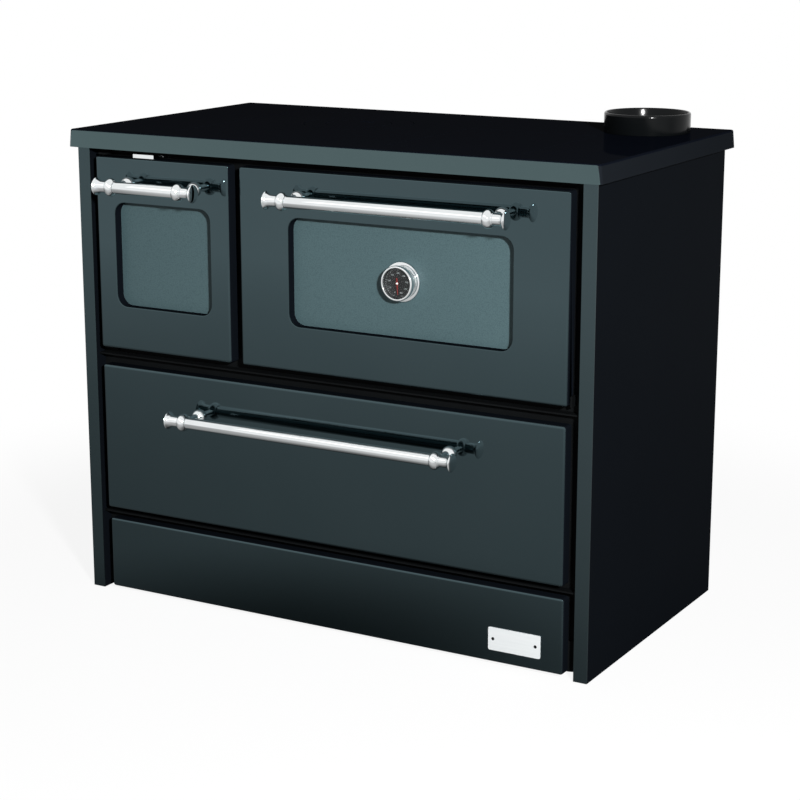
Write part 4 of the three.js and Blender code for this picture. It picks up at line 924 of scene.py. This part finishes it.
# %% Hob frame
hob_x, hob_y, hob_z = spans("hob_frame")
HOB_EDGE = 31 * MM
HOB_FLARE = 2.5 * MM
HOB_ROUND = 3 * MM
DECK = 5 * MM
HOB_CORNER = 9 * MM
HOB_WALL = 5.5 * MM
FLUE_RADIUS = 70.5 * MM
LEDGE = 8 * MM
hob_top = hob_z[1]
plate_left = spans("hob_plate_left")
plate_right = spans("hob_plate_right")
collar = spans("flue_collar")
SEAM = 0.8 * MM


def flat_loop(x, y, z, radius, steps=6):
    """A rounded rectangle lying level."""
    return [(px, py, z) for px, _, py in rectangle(x, y, 0, radius, steps)]


def slab(x, y, z):
    """A plain block as points and faces, used only to cut."""
    square = [(x[0], y[0]), (x[1], y[0]), (x[1], y[1]), (x[0], y[1])]
    return skin([[(a, b, level) for a, b in square] for level in z], False)


steps = [(0, -HOB_EDGE), (HOB_FLARE * 0.98, -HOB_ROUND - EASE)]
steps += [(HOB_FLARE + along, -down) for along, down in quarter(HOB_ROUND, 6)]
steps.append((HOB_FLARE + HOB_ROUND + EASE, 0))
hob_loops = []
for inward, rise in steps:
    corner = max(HOB_CORNER - inward, 4 * MM)
    hob_loops.append(flat_loop(shrunk(hob_x, inward), shrunk(hob_y, inward), hob_top + rise, corner, 8))
hob = made("hob_frame_shell", *skin(hob_loops, False), hob_black)
low = hob_top - HOB_EDGE - MM
over = hob_top + MM
deck_under = hob_top - DECK
plates_y = (plate_left[1][0] - SEAM, plate_left[1][1] + SEAM)
right_y = (plate_right[1][0] - SEAM, plate_right[1][1] + SEAM)
left_end, seam_x, right_end = plate_left[0][0] - SEAM, plate_left[0][1], plate_right[0][1] + SEAM
opening_left = slab((left_end, seam_x), plates_y, (low, over))
opening_right = slab((seam_x - MM, right_end), right_y, (low, over))
hollow = slab(shrunk(hob_x, HOB_WALL), shrunk(hob_y, HOB_WALL), (low, deck_under))
flue_centre = (middle(collar[0]), middle(collar[1]), hob_top)
flue_hole = rod("Z", flue_centre, FLUE_RADIUS, 40 * MM, 64)
for cutter_shape in (hollow, opening_left, opening_right, flue_hole):
    holed(hob, cutter_shape)
print("hob faces:", len(hob.data.polygons))

# %% [markdown]
# Under the plates runs a ledge. It is cut from a slab in the same way and joined to the hob as
# a second closed shell.

# %% Ledge under the plates
ledge_top = deck_under - 0.3 * MM
ledge_low = ledge_top - 4 * MM
OUTER = 6 * MM
reach_x = (left_end - OUTER, right_end + OUTER)
reach_y = (plates_y[0] - OUTER, plates_y[1] + OUTER)
ledge = made("hob_ledge", *slab(reach_x, reach_y, (ledge_low, hob_top - 2 * MM)), hob_black)
corner_cut = slab((seam_x + OUTER, reach_x[1] + MM), (right_y[1] + OUTER, reach_y[1] + MM), (low, over))
rest_left = slab((left_end, seam_x), plates_y, (ledge_top, over))
rest_right = slab((seam_x - MM, right_end), right_y, (ledge_top, over))
inner_left = slab((left_end + LEDGE, seam_x - LEDGE), shrunk(plates_y, LEDGE), (low, over))
inner_right = slab((seam_x - LEDGE - MM, right_end - LEDGE), shrunk(right_y, LEDGE), (low, over))
for cutter_shape in (corner_cut, rest_left, rest_right, inner_left, inner_right):
    holed(ledge, cutter_shape)
hob_mesh = bmesh.new()
hob_mesh.from_mesh(hob.data)
hob_mesh.from_mesh(ledge.data)
hob_mesh.to_mesh(hob.data)
hob_mesh.free()
bpy.data.objects.remove(ledge)
hob.data.shade_smooth()
hob.data.set_sharp_from_angle(angle=math.radians(35))
stands_for(hob, "hob_frame")
print("hob and ledge faces:", len(hob.data.polygons))

# %% [markdown]
# The plates, ring and lid keep their shapes with eased edges, so that the seams between them
# catch a thin line of light. The collar is turned, with a round rim.

# %% Plates and collar
for node in ("hob_plate_left", "hob_plate_right", "hob_ring", "hob_lid"):
    softened(node, hob_black, 0.4 * MM)
collar_base = collar[2][0]
COLLAR_TOP = 44 * MM
collar_rise = [
    (66.2, 0), (70.2, 0), (70.2, 9.3), (74.6, 9.3), (75, 9.7), (75, 10.2), (75, 40), (75, 40.5),
    (74.7, 42), (74, 43.2), (73.2, 43.8), (72.4, 44), (71.6, 43.8), (70.9, 43.2), (70.5, 42.3),
    (70.5, 14.3), (66.2, 14.3),
]
collar_scale = (collar[2][1] - collar_base) / COLLAR_TOP
collar_profile = [(r, collar_base + h * collar_scale) for r, h in in_metres(collar_rise)]
collar_shape = turned(collar_profile, "Z", (flue_centre[0], flue_centre[1], 0), 96, True)
stands_for(made("flue_collar_turned", *collar_shape, flue_black, 40), "flue_collar")
print("collar height above the deck, mm:", round((collar[2][1] - hob_top) / MM, 1))

# %% [markdown]
# ## Casing
# The side panels, the front frame behind the doors, the back, the base, the hinges, the catches
# and the runners are folded or cut sheet. They keep their shapes, with the edges rounded as a
# fold rounds them. The front frame and the back are plates full of windows and slots, which
# rounding would spoil, so they keep their own mesh. The feet are turned.

# %% Casing pieces
softened("side_panel_left", side_painted_shade_left, 0.8 * MM, 3)
softened("side_panel_right", side_painted_shade_right, 0.8 * MM, 3)
refinished("front_frame", frame_black)
softened("air_slider", chrome, 0.3 * MM)
refinished("back_panel", zinc)
# Painted shade: the base pan's black front apron fills the gaps beside the plinth with a dark sheet.
softened("base_pan", frame_black, 0.5 * MM)
for node in ("fire_hinge_upper", "fire_hinge_lower", "oven_hinge_left", "oven_hinge_right"):
    softened(node, frame_black, 0.3 * MM)
for node in ("fire_door_catch", "oven_door_catch"):
    softened(node, frame_black, 0.4 * MM)
for node in ("drawer_runner_left", "drawer_runner_right"):
    softened(node, zinc, 0.4 * MM)
softened("drawer_box", zinc, 0.4 * MM)
softened("badge_plate", brushed, 0.3 * MM)
foot_profile = [
    (0, 0), (18.6, 0), (19.6, 0.4), (20, 1.4), (20, 4.6), (19.5, 5.4), (10, 7.8), (8.4, 8.4),
    (6, 8.6), (6, 29.7), (0, 29.7),
]
for node in ("foot_front_left", "foot_front_right", "foot_rear_left", "foot_rear_right"):
    x, y, z = spans(node)
    shape = turned(in_metres(foot_profile), "Z", (middle(x), middle(y), 0), 40)
    stands_for(made(node + "_turned", *shape, zinc), node)
print("casing done")

# %% [markdown]
# ## Firebox and oven
# The inner body is welded sheet, the bricks line the fire, the grate and its bed are cast, and
# the oven is an enamelled box with ribs for its tray and rack. The slotted grate keeps its own
# mesh, as the back does.

# %% Inner pieces
softened("inner_body", frame_black, 0.5 * MM)
for node in ("fire_brick_left", "fire_brick_right", "fire_brick_rear"):
    softened(node, fire_brick, 2 * MM, 3)
softened("grate_bed", cast_iron, 1 * MM)
refinished("fire_grate", cast_iron)
softened("ash_pan", zinc, 0.4 * MM)
softened("oven_box", oven_dark, 0.5 * MM)
softened("oven_tray", oven_dark, 0.4 * MM)
print("inner pieces done")

# %% [markdown]
# ## Oven rack
# The rack is one bent rod for the frame and thinner bars across it, so its shape is a rule: a
# count, a spacing and two thicknesses. Geometry Nodes sweep a circle along each line.

# %% Rack tree
rack_x, rack_y, rack_z = spans("oven_rack")


def rack_tree(finish):
    tree = Tree("oven_rack")
    width = tree.input("Width")
    depth = tree.input("Depth")
    frame_rod = tree.input("Frame Rod")
    bar_rod = tree.input("Bar Rod")
    bars = tree.input("Bars", "NodeSocketInt")
    bend = tree.input("Bend")
    outline = tree.node("GeometryNodeCurvePrimitiveQuadrilateral", None, {"Width": width, "Height": depth})
    rounded = tree.node(
        "GeometryNodeFilletCurve", {"mode": "POLY"}, {"Curve": outline, "Radius": bend, "Count": 8}
    )
    thick = tree.node("GeometryNodeCurvePrimitiveCircle", None, {"Resolution": 14, "Radius": frame_rod})
    rim = tree.node("GeometryNodeCurveToMesh", None, {"Curve": rounded, "Profile Curve": thick})
    half = tree.maths("MULTIPLY", depth, 0.5)
    line = tree.node(
        "GeometryNodeCurvePrimitiveLine",
        None,
        {"Start": tree.point(0.0, tree.maths("MULTIPLY", half, -1.0)), "End": tree.point(0.0, half)},
    )
    thin = tree.node("GeometryNodeCurvePrimitiveCircle", None, {"Resolution": 10, "Radius": bar_rod})
    bar = tree.node(
        "GeometryNodeCurveToMesh", None, {"Curve": line, "Profile Curve": thin, "Fill Caps": True}
    )
    pitch = tree.maths("DIVIDE", width, tree.maths("ADD", bars, 1.0))
    start = tree.maths("SUBTRACT", pitch, tree.maths("MULTIPLY", width, 0.5))
    row = tree.node(
        "GeometryNodeMeshLine",
        None,
        {"Count": bars, "Start Location": tree.point(start), "Offset": tree.point(pitch)},
    )
    copies = tree.node("GeometryNodeInstanceOnPoints", None, {"Points": row, "Instance": bar})
    joined = tree.tree.nodes.new("GeometryNodeJoinGeometry")
    tree.tree.links.new(rim, joined.inputs[0])
    tree.tree.links.new(copies, joined.inputs[0])
    tree.end(joined.outputs[0], finish)
    return tree


ROD = 3 * MM
rack = rack_tree(chrome).grow(
    scatter("oven_rack_rods", [(0, 0, 0)]),
    {
        "Width": rack_x[1] - rack_x[0] - 2 * ROD,
        "Depth": rack_y[1] - rack_y[0] - 2 * ROD,
        "Frame Rod": ROD,
        "Bar Rod": 2.1 * MM,
        "Bars": 13,
        "Bend": 12 * MM,
    },
)
for vertex in rack.data.vertices:
    vertex.co += Vector((middle(rack_x), middle(rack_y), middle(rack_z)))
rack.data.shade_smooth()
stands_for(rack, "oven_rack")
print("rack faces:", len(rack.data.polygons))

# %% [markdown]
# ## Door seals
# A rope of three strands lies in a ring behind each door. The strands are lobes of the rope's
# section, which turns slowly as it is swept along the ring. The tree resamples the path, tilts
# it by its index and sweeps the lobed section.


# %% Rope tree
def rope_tree(finish):
    tree = Tree("rope_seal")
    radius = tree.input("Radius")
    count = tree.input("Points", "NodeSocketInt")
    twist = tree.input("Twist Each")
    lobe = tree.input("Lobe Height")
    path = tree.node("GeometryNodeMeshToCurve", None, {"Mesh": tree.base})
    even = tree.node("GeometryNodeResampleCurve", None, {"Curve": path, "Count": count})
    index = tree.node("GeometryNodeInputIndex")
    tilted = tree.node(
        "GeometryNodeSetCurveTilt", None, {"Curve": even, "Tilt": tree.maths("MULTIPLY", index, twist)}
    )
    circle = tree.node("GeometryNodeCurvePrimitiveCircle", None, {"Resolution": 15, "Radius": 1.0})
    around = tree.maths("MULTIPLY", tree.node("GeometryNodeInputIndex"), 2 * math.pi * 3 / 15)
    swell = tree.maths("ADD", 1.0, tree.maths("MULTIPLY", tree.maths("COSINE", around), lobe))
    size = tree.maths("MULTIPLY", swell, radius)
    place = tree.node("GeometryNodeInputPosition")
    grown = tree.node("ShaderNodeVectorMath", {"operation": "SCALE"}, {0: place, "Scale": size})
    section = tree.node("GeometryNodeSetPosition", None, {"Geometry": circle, "Position": grown})
    rope = tree.node("GeometryNodeCurveToMesh", None, {"Curve": tilted, "Profile Curve": section})
    tree.end(rope, finish)
    return tree


rope = rope_tree(rope_grey)
ROPE_HALF = 3.5 * MM
ROPE_RADIUS = 2.72 * MM
ROPE_CORNER = 10 * MM
ROPE_STEP = 1.6 * MM
STEPS_A_STRAND = 12


def seal(node):
    x, y, z = spans(node)
    loop = rectangle(shrunk(x, ROPE_HALF), shrunk(z, ROPE_HALF), middle(y), ROPE_CORNER, 8)
    mesh = bpy.data.meshes.new(node + "_path")
    edges = [(i, (i + 1) % len(loop)) for i in range(len(loop))]
    mesh.from_pydata(loop, edges, [])
    piece = shown(node + "_rope", mesh)
    length = 2 * (x[1] - x[0] + z[1] - z[0])
    count = int(length / ROPE_STEP)
    turns = round(count / STEPS_A_STRAND)
    values = {
        "Radius": ROPE_RADIUS,
        "Points": count,
        "Twist Each": 2 * math.pi / 3 * turns / count,
        "Lobe Height": 0.12,
    }
    rope.grow(piece, values)
    piece.data.shade_smooth()
    stands_for(piece, node)
    print(node, "faces", len(piece.data.polygons))


seal("fire_door_gasket")
seal("oven_door_gasket")

# %% [markdown]
# ## Fasteners
# Screws hold the back to the side panels' rear flanges, the liners to the doors and the box to
# the drawer's front. They are one shape, a low dome with a cross cut into it, which one tree
# sets on loose points.


# %% Fastener tree
def fastener_tree(name, finish):
    tree = Tree(name)
    radius = tree.input("Head Radius")
    height = tree.input("Head Height")
    cross = tree.input("Cross Length")
    facing = tree.input("Facing", "NodeSocketVector")
    ball = tree.node("GeometryNodeMeshUVSphere", None, {"Segments": 20, "Rings": 10, "Radius": 1.0})
    scale = tree.point(radius, radius, height)
    dome = tree.node("GeometryNodeTransform", None, {"Geometry": ball, "Scale": scale})
    slot = tree.maths("MULTIPLY", cross, 0.2)
    deep = tree.maths("MULTIPLY", height, 1.1)
    above = tree.node("ShaderNodeCombineXYZ", None, {"Z": height})
    bars = []
    for size in (tree.point(cross, slot, deep), tree.point(slot, cross, deep)):
        bar = tree.node("GeometryNodeMeshCube", None, {"Size": size})
        bars.append(tree.node("GeometryNodeTransform", None, {"Geometry": bar, "Translation": above}))
    cut = tree.tree.nodes.new("GeometryNodeMeshBoolean")
    cut.operation = "DIFFERENCE"
    tree.tree.links.new(dome, cut.inputs["Mesh 1"])
    for bar in bars:
        tree.tree.links.new(bar, cut.inputs["Mesh 2"])
    turn = tree.node("FunctionNodeAlignRotationToVector", {"axis": "Z"}, {"Vector": facing})
    heads = tree.node(
        "GeometryNodeInstanceOnPoints",
        None,
        {"Points": tree.base, "Instance": cut.outputs["Mesh"], "Rotation": turn},
    )
    tree.end(heads, finish)
    return tree


screws = fastener_tree("screws", zinc)
HEAD = 4 * MM
HEAD_RISE = 2 * MM


def fasten(name, points, body):
    """Screws on points that all face the back."""
    values = {
        "Head Radius": HEAD,
        "Head Height": HEAD_RISE,
        "Cross Length": 0.9 * HEAD,
        "Facing": (0, 1, 0),
    }
    piece = screws.grow(scatter(name, points), values)
    piece.data.shade_smooth()
    piece.data.set_sharp_from_angle(angle=math.radians(40))
    added_to(piece, body)
    return len(points)


# %% [markdown]
# The screws' places follow the edges that they hold. The badge's two rivets are plain domes.

# %% Fasteners in place
FLANGE_MIDDLE = 10 * MM
FIRST_SCREW = 60 * MM
SCREW_PITCH = 140 * MM
LINER_SCREW_IN = 48 * MM
BOX_SCREW_IN = 40 * MM
RIVET_IN = 9 * MM
side_x, side_y, side_z = spans("side_panel_right")
flange = side_x[1] - FLANGE_MIDDLE
heights = [side_z[0] + FIRST_SCREW + i * SCREW_PITCH for i in range(6)]
rear = [(s * flange, side_y[1], z) for s in (-1, 1) for z in heights]
total = fasten("rear_screws", rear, "root")

badge_x, badge_y, badge_z = spans("badge_plate")
dome = in_metres([(0, -0.8), (1.2, -0.72), (2.2, -0.45), (2.7, -0.15), (2.8, 0.1), (0, 0.1)])
rivets = [turned(dome, "Y", (x, badge_y[0], middle(badge_z)), 24) for x in shrunk(badge_x, RIVET_IN)]
added_to(made("badge_rivets", *together(*rivets), frame_black), "root")

for name in ("fire", "oven"):
    x, y, z = spans(name + "_door_liner")
    inner = [(a, y[1], b) for a in shrunk(x, LINER_SCREW_IN) for b in shrunk(z, LINER_SCREW_IN)]
    total += fasten(name + "_liner_screws", inner, name + "_door")

_, box_y, box_z = spans("drawer_box")
inside = box_y[0] + 1.5 * MM
box_screws = [(x, inside, z) for x in (-0.3, -0.1, 0.1, 0.3) for z in shrunk(box_z, BOX_SCREW_IN)]
total += fasten("drawer_screws", box_screws, "wood_drawer")
print("fasteners:", total)

# %% [markdown]
# ## Stage and light
# A white floor and a white world, as in a catalogue picture. The camera, and metal and glass,
# see the floor as white, yet near the range it takes a soft shadow. Reflections also find its
# glow dimmed near the range and towards the left: painted shade in the range's reflections,
# deepest on the low fronts. For all other light the floor is dull, so that shadows stay deep. A
# small key lamp at the upper right draws the dark line of shadow along the top and right edges of
# the sunk fields, and a wide soft lamp at the upper left eases the rest.


# %% Floor
def kinds_of_ray(shading):
    """1 for rays from the camera, for rays from metal or glass, and for any of these."""
    path = shading.tree.nodes.new("ShaderNodeLightPath")
    kinds = [f"Is {kind} Ray" for kind in ("Camera", "Glossy", "Transmission")]
    direct, glossy, through = [Amount(shading, path.outputs[kind]) for kind in kinds]
    mirrored = glossy + through
    any_of = shading.node("ShaderNodeMath", {"operation": "MINIMUM"}, {0: direct + mirrored, 1: 1.0})
    return direct, mirrored, any_of


NEAR_SHADOW = 0.9
DULLED = 0.7
FAR_FLOOR = 1.2
MIRRORED_NEAR = 0.5
MIRRORED_START = 0.265
MIRRORED_RISE = 0.248
FLOOR_REACH = 9
floor_mix = Finish("pale_floor", Roughness=0.9)
away = floor_mix.node("ShaderNodeVectorMath", {"operation": "LENGTH"}, {0: floor_mix.place}, "Value")
direct, mirrored, whiteness = kinds_of_ray(floor_mix)
far = away.over(FAR_FLOOR, 0.4)
# Painted shade in reflections: metal and glass find the floor's glow dimmed near the range and towards the
# left.
outward = floor_mix.node("ShaderNodeMath", {"operation": "ABSOLUTE"}, {0: floor_mix.axis("Y")})
painted_reflection_tilt = floor_mix.node(
    "ShaderNodeMapRange",
    None,
    {"Value": floor_mix.axis("X"), "From Min": -1.7, "To Min": -0.12, "To Max": 0.07},
)
slope = MIRRORED_START + outward * MIRRORED_RISE + painted_reflection_tilt
rising = floor_mix.node("ShaderNodeMapRange", None, {"Value": slope})
painted_reflection_shade = away.over(MIRRORED_NEAR, 0.3) * rising
strength = direct + mirrored * painted_reflection_shade
shine = floor_mix.node("ShaderNodeEmission", None, {"Color": (1, 1, 1, 1), "Strength": strength})
floor_shade = Amount(floor_mix, floor_mix.shader.outputs[0])
floor_mix.shader.inputs["Base Color"].default_value = (0.9, 0.9, 0.9, 1)
share = whiteness * (NEAR_SHADOW + far * (1 - NEAR_SHADOW)) + (1 - whiteness) * DULLED
mixed = floor_mix.node("ShaderNodeMixShader", None, {0: share, 1: floor_shade, 2: shine})
floor_mix.tree.links.new(mixed.socket, floor_mix.tree.nodes["Material Output"].inputs["Surface"])
whole_floor = (-FLOOR_REACH, FLOOR_REACH)
floor_sheet = skin([flat_loop(whole_floor, whole_floor, z, 1) for z in (-0.02, 0)], False)
floor = made("floor", *floor_sheet, floor_mix.material)
print("floor reaches, m:", FLOOR_REACH)

# %% World
AMBIENT = 0.04
world = bpy.data.worlds.new("white_room")
bpy.context.scene.world = world
world.use_nodes = True
room = Shading(world.node_tree)
sky = world.node_tree.nodes["Background"]
sky.inputs["Color"].default_value = (1, 1, 1, 1)
seen = kinds_of_ray(room)[2]
level = room.node("ShaderNodeMapRange", None, {"Value": seen, "To Min": AMBIENT})
room.feed(sky.inputs["Strength"], level)
print("world ambient:", AMBIENT)


# %% Lamps
def lamp(name, place, target, width, height, power):
    """A rectangular lamp at a place, aimed at a target."""
    light = bpy.data.lights.new(name, "AREA")
    light.shape = "RECTANGLE"
    light.size = width
    light.size_y = height
    light.energy = power
    holder = shown(name, light)
    holder.location = place
    holder.rotation_mode = "QUATERNION"
    holder.rotation_quaternion = (Vector(target) - Vector(place)).to_track_quat("-Z", "Y")


lamp("key", (2.71, -2.97, 1.82), (0.15, -0.23, 0.63), 0.25, 0.25, 310)
lamp("soft", (-1.2, -3.0, 2.9), (0, 0, 0.5), 4.5, 1.2, 8)

# %% [markdown]
# ## Camera
# The camera stands to the right of the front, a little above the hob, and looks down at the
# range. Its place, angle and lens were worked out from the corners of the casing.

# %% Camera
CAMERA_AZIMUTH = 29.75
CAMERA_PITCH = 13.72
CAMERA_PLACE = (1.77438, -3.08142, 1.23341)
LENS_PIXELS = 2028.1
IMAGE_PIXELS = 800
SENSOR_MM = 36
view = bpy.data.cameras.new("camera")
view.sensor_width = SENSOR_MM
view.lens = LENS_PIXELS / IMAGE_PIXELS * SENSOR_MM
camera = shown("camera", view)
camera.location = CAMERA_PLACE
camera.rotation_euler = (math.radians(90 - CAMERA_PITCH), 0, math.radians(CAMERA_AZIMUTH))
bpy.context.scene.camera = camera
bpy.context.scene.view_settings.view_transform = "Standard"
print("lens, mm:", round(view.lens, 2))
